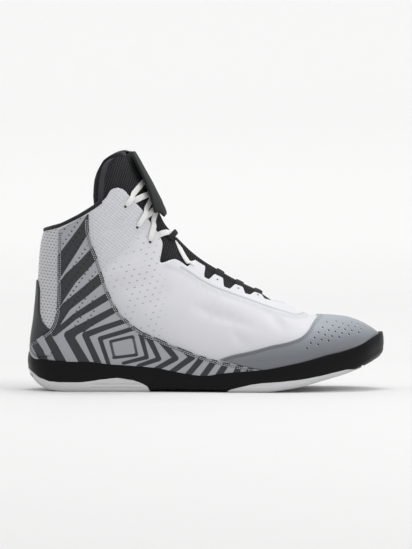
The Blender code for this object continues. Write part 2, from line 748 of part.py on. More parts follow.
TAUS = [-1, -0.7, -0.38, 0, 0.22, 0.42, 0.6, 0.76, 0.89, 1]
FRONT_STATIONS = [0, 0.06, 0.12, 0.18, 0.24, 0.3, 0.35, 0.4, 0.45, 0.5, 0.55, 0.6, 0.66, 0.72, 0.78,
                  0.84, 0.9, 0.95, 1]
BACK_STATIONS = [1.06, 1.13, 1.22, 1.36, 1.52, 1.68, 1.84, 1.98, 2.12]
STATIONS = FRONT_STATIONS + BACK_STATIONS


def make_hollow():
    """The space that the sole leaves for the upper: its outer face, grown by the gap and closed."""
    stations = [s for s in STATIONS if s <= 1.36]
    layers = []
    for tau in TAUS:
        pair = [shifted(np.array(stations), np.full(len(stations), tau), side, GAP)
                for side in (LATERAL, MEDIAL)]
        layers.append(pair)
    name = "upper_room"
    mesh = bpy.data.meshes.new(name)
    shape = bmesh.new()
    low = [layers[0][0].copy(), layers[0][1].copy()]
    at = np.array(stations)
    for line in low:
        line[:, 2] -= np.where(at < 1, GAP + WALL * ease(at, 0.50, 0.94), 0)
    columns = [low[0]] + [pair[0] for pair in layers] + [pair[1] for pair in reversed(layers[:-1])] + [low[1]]
    grid = np.stack(columns, axis=1)
    verts = [[shape.verts.new(point) for point in row] for row in grid]
    rows, wide = grid.shape[:2]
    for i in range(rows - 1):
        for j in range(wide):
            k = (j + 1) % wide
            cover_quad(shape, (verts[i][j], verts[i][k], verts[i + 1][k], verts[i + 1][j]), True)
    shape.faces.new(verts[-1])
    bmesh.ops.remove_doubles(shape, verts=shape.verts, dist=MERGE)
    bmesh.ops.dissolve_degenerate(shape, edges=shape.edges, dist=MERGE)
    bmesh.ops.recalc_face_normals(shape, faces=shape.faces)
    shape.to_mesh(mesh)
    shape.free()
    return place(mesh, name, CUTTERS)


def make_throat_cutter():
    """The open throat with its scalloped edge, as a thick shell over the ridge."""
    stations = {float(s) for s in values(THROAT, "station")} | {2.3}
    stations |= {s for s in STATIONS if s > 0.38}
    for front, rear, _ in TABS[1:]:
        stations |= {front - TAB_SLOPE, front + TAB_SLOPE, rear - TAB_SLOPE, rear + TAB_SLOPE}
    stations = np.array(sorted(stations))
    half = throat_half(stations)
    columns = []
    for side in (LATERAL, MEDIAL):
        edge = tau_at(stations, half, side)
        shares = (0, 0.35, 0.7, 1) if side < 0 else (0.7, 0.35, 0)
        columns += [shifted(stations, edge + (1 - edge) * share, side, 6 * MM) for share in shares]
    made = place(grid_mesh("throat_room", np.stack(columns, axis=1)), "throat_room", CUTTERS)
    solidify(made, 14 * MM, inwards=True)
    return made


def eyelet_cutters():
    """Pins through the lace holes, square to the upper."""
    made = []
    for side in (LATERAL, MEDIAL):
        for station, half in EYELETS[1:]:
            tau = tau_at(station, half * SHAFT_WIDTH, side)
            start = shifted(station, tau, side, -5 * MM)
            end = shifted(station, tau, side, 4 * MM)
            axis = end - start
            bpy.ops.mesh.primitive_cylinder_add(vertices=6, radius=EYELET / 2, depth=np.linalg.norm(axis))
            pin = bpy.context.object
            pin.name = "eyelet_pin"
            pin.location = (start + end) / 2
            pin.rotation_mode = "QUATERNION"
            from_z = np.array([0.0, 0.0, 1.0])
            unit = axis / np.linalg.norm(axis)
            turn = np.cross(from_z, unit)
            pin.rotation_quaternion = normal_turn(turn, float(unit[2]))
            pin.hide_render = True
            pin.display_type = "WIRE"
            for holder in list(pin.users_collection):
                holder.objects.unlink(pin)
            CUTTERS.objects.link(pin)
            made.append(pin)
    return made


def normal_turn(axis, cosine):
    """Quaternion that turns +Z by the angle of the given cosine about axis."""
    size = np.linalg.norm(axis)
    half = math.acos(max(-1.0, min(1.0, cosine))) / 2
    if size < 1e-9:
        return (1, 0, 0, 0)
    unit = axis / size * math.sin(half)
    return (math.cos(half), unit[0], unit[1], unit[2])


def collar_room():
    """Everything above the collar's edge, seen from the side."""
    line = drawn_line(COLLAR_EDGE)
    outline = corners((-0.60, 0.780)) + line + corners((-0.16, 0.80), (0.10, 0.80), (0.10, 1.4), (-0.60, 1.4))
    return side_prism("collar_room", outline, BALL_WIDTH)


def make_upper(throat, pins):
    """The hollow bootie, open at the collar, the throat and underneath."""
    points = surface_points(STATIONS, half_columns(TAUS), 0.0)
    upper = place(grid_mesh("upper", points, True), "upper", PARTS, "white_mesh")
    solidify(upper, WALL, inwards=True)
    boolean(upper, throat, "DIFFERENCE")
    boolean(upper, collar_room(), "DIFFERENCE")
    for pin in pins:
        boolean(upper, pin, "DIFFERENCE")
    return upper


def overlay(name, stations, columns, outline, finish, sole_room):
    """A skin over the upper, cut from its own surface by an outline seen from the side."""
    points = surface_points(stations, columns, GAP)
    skin = place(grid_mesh(name, points, True), name, PARTS, finish)
    solidify(skin, OVERLAY, inwards=False)
    boolean(skin, side_prism(name + "_outline", outline, BALL_WIDTH), "INTERSECT")
    if sole_room:
        boolean(skin, sole_room, "DIFFERENCE")
    return skin


def make_overlays(throat, pins):
    """Toe cap, striped quarters, heel counter and eyestay."""
    sole_room = sole_block("sole_room", GAP, CUTTERS)
    low = corners((0.60, 0.40), (0.60, 0.0), (0.175, 0.0))
    cap = drawn_line(TOE_CAP_EDGE) + corners((0.36, 0.60), (0.60, 0.60)) + low + drawn_line(TOE_CAP_FOOT)
    stations = [s for s in STATIONS if s <= 0.6]
    overlay("toe_cap", stations, half_columns(TAUS), cap, "grey", sole_room)

    quarter = (drawn_line(QUARTER_REAR) + corners((-0.40, 0.92)) + drawn_line(QUARTER_FRONT)
               + corners((0.16, 0.0), (-0.52, 0.0)))
    stations = [s for s in STATIONS if s >= 0.35]
    sides = (("quarter_panel_lateral", LATERAL), ("quarter_panel_medial", MEDIAL))
    for name, side in sides:
        taus = [-0.97] + TAUS[1:7]
        columns = [(side, tau) for tau in (taus if side < 0 else taus[::-1])]
        skin = overlay(name, stations, columns, quarter, "light_grey", sole_room)
        boolean(skin, collar_clear(), "DIFFERENCE")

    counter = drawn_line(COUNTER_TOP) + drawn_line(COUNTER_FOOT)
    stations = [s for s in STATIONS if 0.9 <= s <= 1.84]
    taus = TAUS[:4]
    columns = [(MEDIAL, tau) for tau in reversed(taus)] + [(LATERAL, tau) for tau in taus[1:]]
    overlay("heel_counter", stations, columns, counter, "dark_grey", None)

    eyestay = drawn_line(EYESTAY_FOOT) + corners((0.30, 0.50), (0.10, 0.80), (-0.078, 0.80))
    stations = [s for s in STATIONS if 0.24 <= s <= 0.84]
    skin = overlay("eyestay", stations, half_columns(TAUS[3:]), eyestay, "white_mesh", None)
    boolean(skin, throat, "DIFFERENCE")
    for pin in pins:
        boolean(skin, pin, "DIFFERENCE")


def collar_clear():
    """The collar's room let down a little, so that a quarter panel stops short of the binding."""
    room = bpy.data.objects.get("collar_clear")
    if room is None:
        line = [(x, z - BINDING) for x, z in drawn_line(COLLAR_EDGE)]
        outline = [(-0.60 * LENGTH, line[0][1])] + line + corners((-0.16, 0.80), (0.10, 0.80), (0.10, 1.4),
                                                                  (-0.60, 1.4))
        room = side_prism("collar_clear", outline, BALL_WIDTH)
    return room


def collar_path(side):
    """Points over the collar's edge from the front of the binding to the back of the heel."""
    line = drawn_line(COLLAR_EDGE)
    xs, zs = np.array([p[0] for p in line]), np.array([p[1] for p in line])
    slopes = np.gradient(zs, xs)
    lift = BINDING / 2 + GAP
    path = []
    for station, tau in zip(np.linspace(1.93, 1.99, 11), np.linspace(0.12, -1, 11)):
        low, high = 1.6, 2.12
        for _ in range(24):
            middle = (low + high) / 2
            point = shifted(middle, tau, side, -WALL / 2)
            if float(point[2]) < np.interp(float(point[0]), xs, zs):
                low = middle
            else:
                high = middle
        point = shifted((low + high) / 2, tau, side, -WALL / 2)
        slope = np.interp(float(point[0]), xs, slopes)
        away = lift / math.hypot(1, slope)
        path.append((float(point[0]) - away * slope, float(point[1]), float(point[2]) + away))
    return path


def make_binding():
    """The rolled dark edge round the back of the collar."""
    near, far = collar_path(LATERAL), collar_path(MEDIAL)
    points = near + far[-2::-1]
    curve = bpy.data.curves.new("collar_binding", "CURVE")
    curve.dimensions = "3D"
    curve.bevel_depth = BINDING / 2
    curve.bevel_resolution = 2
    curve.use_fill_caps = True
    spline = curve.splines.new("POLY")
    spline.points.add(len(points) - 1)
    for knot, point in zip(spline.points, points):
        knot.co = (*point, 1)
    made = bpy.data.objects.new("collar_binding", curve)
    curve.materials.append(material("black"))
    PARTS.objects.link(made)


TONGUE_REACH = [
    ("station", "tau"),
    (0.31, 0.62), (0.40, 0.56), (0.50, 0.50), (0.70, 0.45), (0.90, 0.42), (1.10, 0.36),
    (1.50, 0.22), (1.80, 0.05), (2.10, -0.10), (2.60, -0.15),
]


def make_tongue():
    """The padded tongue: under the throat it follows the inside of the upper, above it wraps the shin."""
    stations = np.array([0.31, 0.37, 0.43, 0.49, 0.55, 0.62, 0.70, 0.78, 0.87, 0.97, 1.2, 1.45, 1.68, 1.84,
                         1.98, 2.12, 2.25, 2.38, 2.48, 2.58])
    out = np.full(len(stations), -(WALL + TONGUE_GAP))
    reach = follow(TONGUE_REACH, "tau", stations)
    columns = []
    for side in (LATERAL, MEDIAL):
        shares = (0, 0.25, 0.5, 0.75, 1) if side < 0 else (0.75, 0.5, 0.25, 0)
        for share in shares:
            columns.append(shifted(stations, reach + (1 - reach) * share, side, out))
    tongue = place(grid_mesh("tongue", np.stack(columns, axis=1)), "tongue", PARTS, "dark_grey")
    solidify(tongue, TONGUE, inwards=True)
    outline = (corners((-0.309, 0.50)) + drawn_line(TONGUE_EDGE)
               + corners((-0.17, 1.16), (0.40, 1.16), (0.40, 0.20), (-0.10, 0.20)))
    boolean(tongue, side_prism("tongue_outline", outline, BALL_WIDTH), "INTERSECT")


def make_cover():
    """The flap that hangs from the tongue's top over the lacing."""
    stations = np.array([0.95, 1.01, 1.2, 1.4, 1.6, 1.8, 2.0, 2.15, 2.3, 2.42, 2.52])
    half = FLAP_WIDTH / 2 * np.array([0.55, 0.85, 1, 1, 1, 1, 1, 1, 1, 1, 0.96])
    columns = []
    for side in (LATERAL, MEDIAL):
        edge = tau_at(stations, half, side)
        shares = (0, 0.35, 0.7, 1) if side < 0 else (0.7, 0.35, 0)
        for share in shares:
            columns.append(shifted(stations, edge + (1 - edge) * share, side, 0.5 * MM))
    cover = place(grid_mesh("tongue_cover", np.stack(columns, axis=1)), "tongue_cover", PARTS, "black")
    solidify(cover, FLAP, inwards=False)


def make_insole():
    """The sock liner on the floor of the sole's hollow."""
    turns = np.array([s for s in FRONT_STATIONS if 0.05 <= s <= 0.99])
    tuck = WALL * ease(turns, 0.70, 0.94)
    layers = []
    for lift in (0, INSOLE):
        lines = []
        for side in (LATERAL, MEDIAL):
            line = shifted(turns, np.full(len(turns), -1.0), side, -(WALL + INSOLE_GAP + tuck))
            line[:, 2] = feather_height(line[:, 0]) + lift
            lines.append(line)
        layers.append(lines)
    mesh = bpy.data.meshes.new("insole")
    shape = bmesh.new()
    rings = []
    for outer_line, inner_line in layers:
        rings.append([shape.verts.new(point) for point in list(outer_line) + list(inner_line[::-1])])
    count = len(rings[0])
    for i in range(count):
        j = (i + 1) % count
        shape.faces.new((rings[0][i], rings[0][j], rings[1][j], rings[1][i]))
    for ring in rings:
        for i in range(count // 2 - 1):
            shape.faces.new((ring[i], ring[i + 1], ring[count - 2 - i], ring[count - 1 - i]))
    bmesh.ops.recalc_face_normals(shape, faces=shape.faces)
    shape.to_mesh(mesh)
    shape.free()
    place(mesh, "insole", PARTS, "dark_grey")


def lace_run(start, end, out, collection, name):
    """One flat run of lace over the tongue, between two (station, distance beside the ridge) points."""
    share = np.linspace(0, 1, 5)
    stations = start[0] + (end[0] - start[0]) * share
    beside = start[1] + (end[1] - start[1]) * share
    middle = []
    normals = []
    for station, distance in zip(stations, beside):
        side = LATERAL if distance < 0 else MEDIAL
        tau = tau_at(station, abs(distance), side)
        middle.append(shifted(station, tau, side, out))
        normals.append(shifted(station, tau, side, out + MM) - middle[-1])
    middle, normals = np.array(middle), np.array(normals)
    tangents = np.gradient(middle, axis=0)
    across = np.cross(tangents, normals)
    across /= np.linalg.norm(across, axis=1, keepdims=True)
    rows = np.stack([middle - across * LACE_WIDTH / 2, middle + across * LACE_WIDTH / 2], axis=1)
    run = place(grid_mesh(name, rows), name, collection, "white_lace" if collection is PARTS else None)
    solidify(run, LACE, inwards=True)
    return run


def make_lace():
    """The crossings of the lace over the tongue, between the two edges of the throat, joined."""
    level = -WALL - TONGUE_GAP + 3 * GAP + LACE
    runs = []
    holes = EYELETS[1:]
    for i in range(len(holes) - 1):
        for side in (LATERAL, MEDIAL):
            ends = []
            for station, sign in ((holes[i][0], side), (holes[i + 1][0], -side)):
                half = float(throat_half(station)) - 1.4 * MM - LACE_WIDTH / 4
                ends.append((station, sign * half))
            lift = 0.35 * MM if side > 0 else 0.0
            runs.append((ends[0], ends[1], level + lift))
    first = None
    for number, (start, end, out) in enumerate(runs):
        if first is None:
            first = lace_run(start, end, out, PARTS, "lace")
        else:
            boolean(first, lace_run(start, end, out, CUTTERS, "lace_run"), "UNION")


def clear_scene():
    """Start from nothing."""
    for thing in list(bpy.data.objects):
        bpy.data.objects.remove(thing)


clear_scene()
PARTS = bpy.data.collections.new("wrestling_shoe")
CUTTERS = bpy.data.collections.new("cutters")
bpy.context.scene.collection.children.link(PARTS)
bpy.context.scene.collection.children.link(CUTTERS)

throat_room = make_throat_cutter()
eyelet_pins = eyelet_cutters()
make_sole(make_hollow())
make_insole()
make_upper(throat_room, eyelet_pins)
make_overlays(throat_room, eyelet_pins)
make_binding()
make_tongue()
make_cover()
make_lace()
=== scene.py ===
"""Looks of a wrestling shoe for the right foot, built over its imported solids.

Metres, +Z up, toe along +X, outer side towards -Y. The upper is one surface, a fan of sections from
the sole to the ridge of the instep, and nearly every piece lies on it: a place on it is a station
(0 toe, 1 heel corner, 2 collar), a tau (-1 foot of the section, 0 widest line, 1 ridge) and a side.
Places that are read off the side of the shoe are tables of steps across and down, 0.8 mm a step.
"""
import math

import bmesh
import bpy
import numpy as np
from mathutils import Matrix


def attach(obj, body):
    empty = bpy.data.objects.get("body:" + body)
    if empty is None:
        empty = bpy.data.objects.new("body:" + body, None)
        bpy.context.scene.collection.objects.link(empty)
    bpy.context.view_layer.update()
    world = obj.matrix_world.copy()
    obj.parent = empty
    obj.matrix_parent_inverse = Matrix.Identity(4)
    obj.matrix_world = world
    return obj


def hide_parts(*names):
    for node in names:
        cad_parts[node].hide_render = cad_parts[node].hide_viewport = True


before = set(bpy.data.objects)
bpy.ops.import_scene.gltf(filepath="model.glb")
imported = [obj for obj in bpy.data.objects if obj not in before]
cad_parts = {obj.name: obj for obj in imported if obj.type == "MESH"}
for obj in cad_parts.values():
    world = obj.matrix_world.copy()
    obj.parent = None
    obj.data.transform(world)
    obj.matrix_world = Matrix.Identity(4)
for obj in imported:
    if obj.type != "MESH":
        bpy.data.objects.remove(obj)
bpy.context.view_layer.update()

MM = 0.001
SEAM = 0.02 * MM             # corners this close are made one

LENGTH = 285 * MM            # heel to toe, over the sole
BALL_WIDTH = 98 * MM         # widest across the ball of the sole
HEEL_WIDTH = 67 * MM         # across the heel of the sole
SHAFT_WIDTH = 77 * MM        # across the collar
SHAFT_HEIGHT = 162 * MM      # ground to the collar's peak beside the tongue
SIDEWALL = 23.4 * MM         # height of the black wall at the heel
TOE_SPRING = 28 * MM         # lift of the sole's underside at the tip of the toe
HEEL_ROLL = 15.6 * MM        # lift of the sole's underside at the back of the heel
ARCH_LIFT = 2.8 * MM         # gap under the waist
HEEL_STACK = 13 * MM         # ground to the upper's lower edge at the heel
FORE_STACK = 9.5 * MM        # the same at the forefoot
RIM_WALL = 2.2 * MM          # thickness of the sole's raised wall
HEEL_TUCK = 7.5 * MM         # how far the heel of the last curves in under itself
WALL = 2.0 * MM              # upper: mesh, foam and lining
OVERLAY = 0.9 * MM           # thickness of an overlay
TONGUE = 3.4 * MM            # padded tongue
FLAP = 2.6 * MM              # flap over the lacing
FLAP_WIDTH = 37 * MM
INSOLE = 3.0 * MM
INSOLE_GAP = 2.0 * MM        # from the insole's edge to the upper's wall
LACE_WIDTH = 4.5 * MM
LACE = 1.0 * MM
EYELET = 3.4 * MM            # diameter of a lace hole
BINDING = 3.0 * MM           # diameter of the rolled edge of the collar
HEEL_POD = 7.6 * MM          # height of the white pad at the middle of the heel
FORE_POD = 6.8 * MM          # height of the white pad under the ball
TREAD_GROOVE = 1.6 * MM      # depth of the grooves under both pads
TREAD_WIDTH = 2.4 * MM
GAP = 0.3 * MM               # between pieces that meet
TONGUE_GAP = 0.95 * MM       # between the tongue and the inside of the upper
BORDER_ROUND = 0.8 * MM      # radius of an overlay's rounded border
BORDER_SINK = 0.2 * MM       # how far that border dips under the skin
STAY_ROUND = 1.8 * MM        # the eyestay's own radius, as it thins out softly
STAY_TUCK = (0.8 * MM, 1.6 * MM)     # steps by which its hem folds in at the throat
MARK_LIFT = 0.06 * MM        # dark floors of holes lie this far over what they are punched in
STITCH_PITCH = 1.5 * MM
STITCH_WIDTH = 0.55 * MM
STITCH_HEIGHT = 0.5 * MM
STITCH_ROWS = (1.3 * MM, 2.5 * MM)   # distances of a double row from the edge

# The sole's plan: shares of the local width on each side of the axis, heel to toe. "ball" says how
# far that width has gone over from HEEL_WIDTH to BALL_WIDTH.
TOE_LEAN = 0.088
PLAN = [
    ("along", "lateral", "medial", "ball"),
    (0.00, 0.000, 0.000, 0.0),
    (0.02, 0.281, 0.281, 0.0),
    (0.07, 0.450, 0.450, 0.0),
    (0.15, 0.500, 0.500, 0.0),
    (0.25, 0.500, 0.480, 0.0),
    (0.35, 0.490, 0.425, 0.15),
    (0.45, 0.430, 0.320, 0.7),
    (0.55, 0.437, 0.333, 1.0),
    (0.63, 0.472, 0.409, 1.0),
    (0.70, 0.485, 0.480, 1.0),
    (0.76, 0.472, 0.512, 1.0),
    (0.82, 0.421, 0.508, 1.0),
    (0.88, 0.352, 0.484, 1.0),
    (0.94, 0.234, 0.420, 1.0),
    (0.98, 0.078, 0.308, 1.0),
    (1.00, -TOE_LEAN, TOE_LEAN, 1.0),
]

# The sole from the side, as shares of LENGTH, HEEL_ROLL, TOE_SPRING and SIDEWALL.
SOLE_SIDE = [
    ("along", "roll", "spring", "wall"),
    (-0.502, 1.00, 0.000, 0.667),
    (-0.480, 0.54, 0.000, 0.800),
    (-0.460, 0.26, 0.000, 0.920),
    (-0.438, 0.11, 0.000, 0.980),
    (-0.410, 0.03, 0.000, 1.000),
    (-0.381, 0.00, 0.000, 1.000),
    (-0.227, 0.00, 0.000, 1.000),
    (-0.171, 0.00, 0.000, 0.923),
    (-0.115, 0.00, 0.000, 0.760),
    (-0.059, 0.00, 0.000, 0.624),
    (-0.003, 0.00, 0.000, 0.543),
    (0.045, 0.00, 0.000, 0.624),
    (0.110, 0.00, 0.000, 0.700),
    (0.166, 0.00, 0.007, 0.760),
    (0.222, 0.00, 0.082, 0.800),
    (0.278, 0.00, 0.193, 0.820),
    (0.334, 0.00, 0.350, 0.820),
    (0.390, 0.00, 0.507, 0.790),
    (0.438, 0.00, 0.690, 0.775),
    (0.466, 0.00, 0.820, 0.800),
    (0.489, 0.00, 0.946, 0.800),
    (0.506, 0.00, 1.030, 0.760),
]

# Levels of the sole's wall from the underside to the rim: share of the wall's height and inset.
SOLE_LEVELS = [
    ("share", "inset"),
    (0.00, 3.2 * MM),
    (0.10, 1.2 * MM),
    (0.35, 0.1 * MM),
    (0.75, 0.0 * MM),
    (1.00, 0.7 * MM),
]

# Stations of the upper: 0 at the toe, 1 at the heel's lower corner, 2 at the collar, above 2 the
# tongue alone. The ridge and the back line are shares of LENGTH and of SHAFT_HEIGHT.
RIDGE = [
    ("station", "along", "height"),
    (0.00, 0.487, 0.262),
    (0.05, 0.476, 0.284),
    (0.10, 0.458, 0.306),
    (0.15, 0.430, 0.332),
    (0.20, 0.393, 0.353),
    (0.25, 0.348, 0.362),
    (0.30, 0.298, 0.368),
    (0.35, 0.247, 0.402),
    (0.40, 0.194, 0.452),
    (0.45, 0.141, 0.497),
    (0.50, 0.087, 0.541),
    (0.55, 0.040, 0.588),
    (0.60, 0.000, 0.630),
    (0.65, -0.033, 0.672),
    (0.70, -0.059, 0.714),
    (0.75, -0.078, 0.751),
    (0.80, -0.092, 0.785),
    (0.85, -0.104, 0.817),
    (0.90, -0.112, 0.844),
    (1.00, -0.125, 0.894),
    (1.10, -0.129, 0.909),
    (1.27, -0.134, 0.931),
    (1.40, -0.140, 0.951),
    (1.55, -0.147, 0.975),
    (1.70, -0.154, 1.000),
    (1.83, -0.160, 1.020),
    (2.00, -0.170, 1.052),
    (2.15, -0.181, 1.086),
    (2.35, -0.195, 1.131),
    (2.60, -0.213, 1.183),
]
BACK = [
    ("station", "along", "height"),
    (1.00, -0.463, 0.080),
    (1.05, -0.477, 0.101),
    (1.10, -0.485, 0.128),
    (1.17, -0.491, 0.185),
    (1.27, -0.489, 0.254),
    (1.40, -0.481, 0.353),
    (1.55, -0.474, 0.477),
    (1.70, -0.470, 0.590),
    (1.83, -0.466, 0.689),
    (1.93, -0.460, 0.753),
    (2.00, -0.454, 0.788),
    (2.15, -0.450, 0.847),
    (2.35, -0.443, 0.946),
    (2.60, -0.432, 1.074),
]

# Half widths as shares of the local width, which goes from BALL_WIDTH to SHAFT_WIDTH with "shaft".
# "widest" is the height share of the widest line, "fullness" the roundness above it, "lean" the
# ridge's shift to the inner side as a share of BALL_WIDTH.
SECTIONS = [
    ("station", "lateral", "medial", "shaft", "widest", "fullness", "lean"),
    (0.00, 0.100, 0.100, 0.00, 0.45, 2.30, TOE_LEAN),
    (0.10, 0.250, 0.270, 0.00, 0.45, 2.35, 0.078),
    (0.20, 0.350, 0.400, 0.00, 0.45, 2.45, 0.062),
    (0.25, 0.405, 0.430, 0.00, 0.43, 2.45, 0.052),
    (0.30, 0.448, 0.450, 0.00, 0.40, 2.35, 0.042),
    (0.35, 0.480, 0.462, 0.00, 0.36, 2.20, 0.034),
    (0.40, 0.472, 0.430, 0.00, 0.32, 2.05, 0.029),
    (0.45, 0.450, 0.398, 0.05, 0.30, 1.95, 0.026),
    (0.50, 0.432, 0.388, 0.15, 0.28, 1.88, 0.023),
    (0.55, 0.429, 0.396, 0.40, 0.28, 1.84, 0.020),
    (0.60, 0.434, 0.415, 0.65, 0.29, 1.82, 0.017),
    (0.65, 0.446, 0.434, 0.85, 0.30, 1.82, 0.014),
    (0.70, 0.458, 0.450, 1.00, 0.31, 1.84, 0.011),
    (0.80, 0.455, 0.450, 1.00, 0.34, 1.90, 0.006),
    (0.90, 0.450, 0.448, 1.00, 0.37, 1.95, 0.002),
    (1.00, 0.446, 0.446, 1.00, 0.40, 2.00, 0.000),
    (1.25, 0.448, 0.448, 1.00, 0.43, 2.05, 0.000),
    (1.50, 0.460, 0.460, 1.00, 0.45, 2.10, 0.000),
    (1.75, 0.476, 0.476, 1.00, 0.47, 2.10, 0.000),
    (2.00, 0.492, 0.492, 1.00, 0.48, 2.10, 0.000),
    (2.60, 0.510, 0.510, 1.00, 0.48, 2.10, 0.000),
]
HEEL_FULLNESS = 2.6          # roundness below the widest line: 2 is an ellipse, more is squarer

# The throat's edge: half its width between the lace tabs, as shares of SHAFT_WIDTH.
THROAT = [
    ("station", "half"),
    (0.370, 0.05),
    (0.380, 0.12),
    (0.395, 0.18),
    (0.410, 0.218),
    (0.440, 0.240),
    (0.470, 0.249),
    (0.530, 0.247),
    (0.580, 0.232),
    (0.640, 0.218),
    (0.700, 0.224),
    (0.755, 0.290),
    (0.780, 0.250),
    (0.800, 0.222),
    (0.850, 0.208),
    (1.000, 0.228),
    (1.200, 0.247),
    (1.400, 0.279),
    (1.700, 0.344),
    (2.000, 0.403),
    (2.200, 0.420),
]
# Scalloped lace tabs of the lower throat: stations of both sides and the half width left there.
TABS = [
    ("front", "rear", "half"),
    (0.431, 0.457, 0.170),
    (0.478, 0.506, 0.162),
    (0.532, 0.566, 0.156),
    (0.592, 0.642, 0.120),
]
TAB_SLOPE = 0.006            # stations over which a tab's side rises
# Lace holes, toe to collar: station and distance from the ridge as a share of SHAFT_WIDTH.
EYELETS = [
    ("station", "half"),
    (0.444, 0.228),
    (0.492, 0.221),
    (0.549, 0.214),
    (0.617, 0.184),
    (0.885, 0.273),
    (1.200, 0.318),
    (1.690, 0.392),
]

# Outlines from the side, as shares of LENGTH and of SHAFT_HEIGHT.
COLLAR_EDGE = [
    ("along", "height"),
    (-0.470, 0.780), (-0.438, 0.795), (-0.410, 0.807), (-0.381, 0.830), (-0.353, 0.854),
    (-0.331, 0.877), (-0.311, 0.899), (-0.297, 0.916), (-0.283, 0.936), (-0.275, 0.951),
    (-0.269, 0.970), (-0.264, 0.984), (-0.255, 0.994), (-0.244, 0.998), (-0.230, 0.990),
    (-0.215, 0.968), (-0.207, 0.940), (-0.200, 0.920),
]
# Where the black of the sole stops over the white pads. The height is a share of the pad's own.
HEEL_POD_TOP = [
    ("along", "height"),
    (-0.520, 2.50), (-0.494, 2.24), (-0.485, 1.99), (-0.466, 1.47), (-0.438, 1.10),
    (-0.410, 1.00), (-0.353, 1.00), (-0.325, 1.10), (-0.297, 1.27), (-0.247, 1.48),
    (-0.202, 1.22), (-0.179, 0.92), (-0.163, 0.58), (-0.157, 0.15), (-0.156, 0.0),
]
FORE_POD_TOP = [
    ("along", "height"),
    (0.058, 0.0), (0.060, 0.18), (0.068, 0.35), (0.096, 0.65), (0.124, 0.94),
    (0.152, 1.12), (0.208, 1.29), (0.264, 1.53), (0.320, 1.94), (0.376, 2.47),
    (0.404, 2.71), (0.424, 2.88), (0.440, 3.20),
]
WAIST = [
    ("along", "share"),
    (-0.150, 0.45), (-0.115, 0.85), (-0.045, 1.0), (0.020, 0.85), (0.052, 0.45),
]
TONGUE_REACH = [
    ("station", "tau"),
    (0.31, 0.62), (0.40, 0.56), (0.50, 0.50), (0.70, 0.45), (0.90, 0.42), (1.10, 0.36),
    (1.50, 0.22), (1.80, 0.05), (2.10, -0.10), (2.60, -0.15),
]

LATERAL, MEDIAL = -1.0, 1.0


def values(table, name):
    """One named column of a table."""
    place = table[0].index(name)
    return np.array([row[place] for row in table[1:]], dtype=float)


def smooth(knots, heights, at):
    """Cubic curve through the knots; each knot's slope is taken from its neighbours."""
    at = np.clip(np.asarray(at, dtype=float), knots[0], knots[-1])
    slopes = np.gradient(heights, knots)
    i = np.clip(np.searchsorted(knots, at) - 1, 0, len(knots) - 2)
    step = knots[i + 1] - knots[i]
    t = (at - knots[i]) / step
    return ((2 * t ** 3 - 3 * t ** 2 + 1) * heights[i] + (t ** 3 - 2 * t ** 2 + t) * step * slopes[i]
            + (3 * t ** 2 - 2 * t ** 3) * heights[i + 1] + (t ** 3 - t ** 2) * step * slopes[i + 1])


def follow(table, name, at):
    """A named column read as a smooth curve over the table's first column."""
    return smooth(values(table, table[0][0]), values(table, name), at)


def ease(value, low, high):
    """0 below low, 1 above high, and a soft step between."""
    t = np.clip((np.asarray(value, dtype=float) - low) / (high - low), 0, 1)
    return t * t * (3 - 2 * t)


def plan_half(turn, side):
    """Half width of the sole; turn goes from 0 at the toe to pi at the heel, so both ends are round."""
    knots = math.pi - np.arccos(1 - 2 * values(PLAN, "along"))[::-1]
    name = "lateral" if side < 0 else "medial"
    share = smooth(knots, values(PLAN, name)[::-1], turn)
    ball = smooth(knots, values(PLAN, "ball")[::-1], turn)
    return share * (HEEL_WIDTH + (BALL_WIDTH - HEEL_WIDTH) * ball)


def plan_point(turn, side, inset):
    """Point of the sole's outline, moved inwards by inset along the outline's own normal."""
    def raw(angle):
        return LENGTH / 2 * np.cos(angle), side * plan_half(angle, side)
    turn = np.asarray(turn, dtype=float)
    step = 0.004
    x0, y0 = raw(np.clip(turn - step, 0, math.pi))
    x1, y1 = raw(np.clip(turn + step, 0, math.pi))
    x, y = raw(turn)
    dx, dy = x1 - x0, y1 - y0
    at_end = (turn < 1e-6) | (turn > math.pi - 1e-6)
    dx = np.where(at_end, 0, dx)
    size = np.hypot(dx, dy)
    return x - inset * side * (dy / size), y + inset * side * (dx / size)


def sole_floor(x):
    """Height of the sole's underside."""
    roll = np.maximum(follow(SOLE_SIDE, "roll", x / LENGTH), 0)
    spring = np.maximum(follow(SOLE_SIDE, "spring", x / LENGTH), 0)
    return roll * HEEL_ROLL + spring * TOE_SPRING


def sole_rim(x):
    """Height of the sole's raised rim."""
    return sole_floor(x) + follow(SOLE_SIDE, "wall", x / LENGTH) * SIDEWALL


def feather_height(x):
    """Height of the upper's lower edge, on the floor of the sole's hollow."""
    stack = HEEL_STACK + (FORE_STACK - HEEL_STACK) * ease(x, -0.23 * LENGTH, -0.03 * LENGTH)
    return stack + follow(SOLE_SIDE, "spring", x / LENGTH) * TOE_SPRING


def foot_point(station, side):
    """Where a section starts: on the feather line up to station 1, then up the back of the heel."""
    low = np.clip(station, 0, 1)
    inset = RIM_WALL + GAP + HEEL_TUCK * ease(low, 0.50, 0.94)
    x, y = plan_point(low * math.pi, side, inset)
    z = feather_height(x)
    up = station > 1
    heel_x, heel_z = LENGTH * values(BACK, "along")[0], SHAFT_HEIGHT * values(BACK, "height")[0]
    x = x + (heel_x - x) * ease(low, 0.9, 1.0) * (low > 0.9)
    z = z + (heel_z - z) * ease(low, 0.9, 1.0) * (low > 0.9)
    x = np.where(up, follow(BACK, "along", station) * LENGTH, x)
    z = np.where(up, follow(BACK, "height", station) * SHAFT_HEIGHT, z)
    return x, np.where(station >= 1, 0, y), z


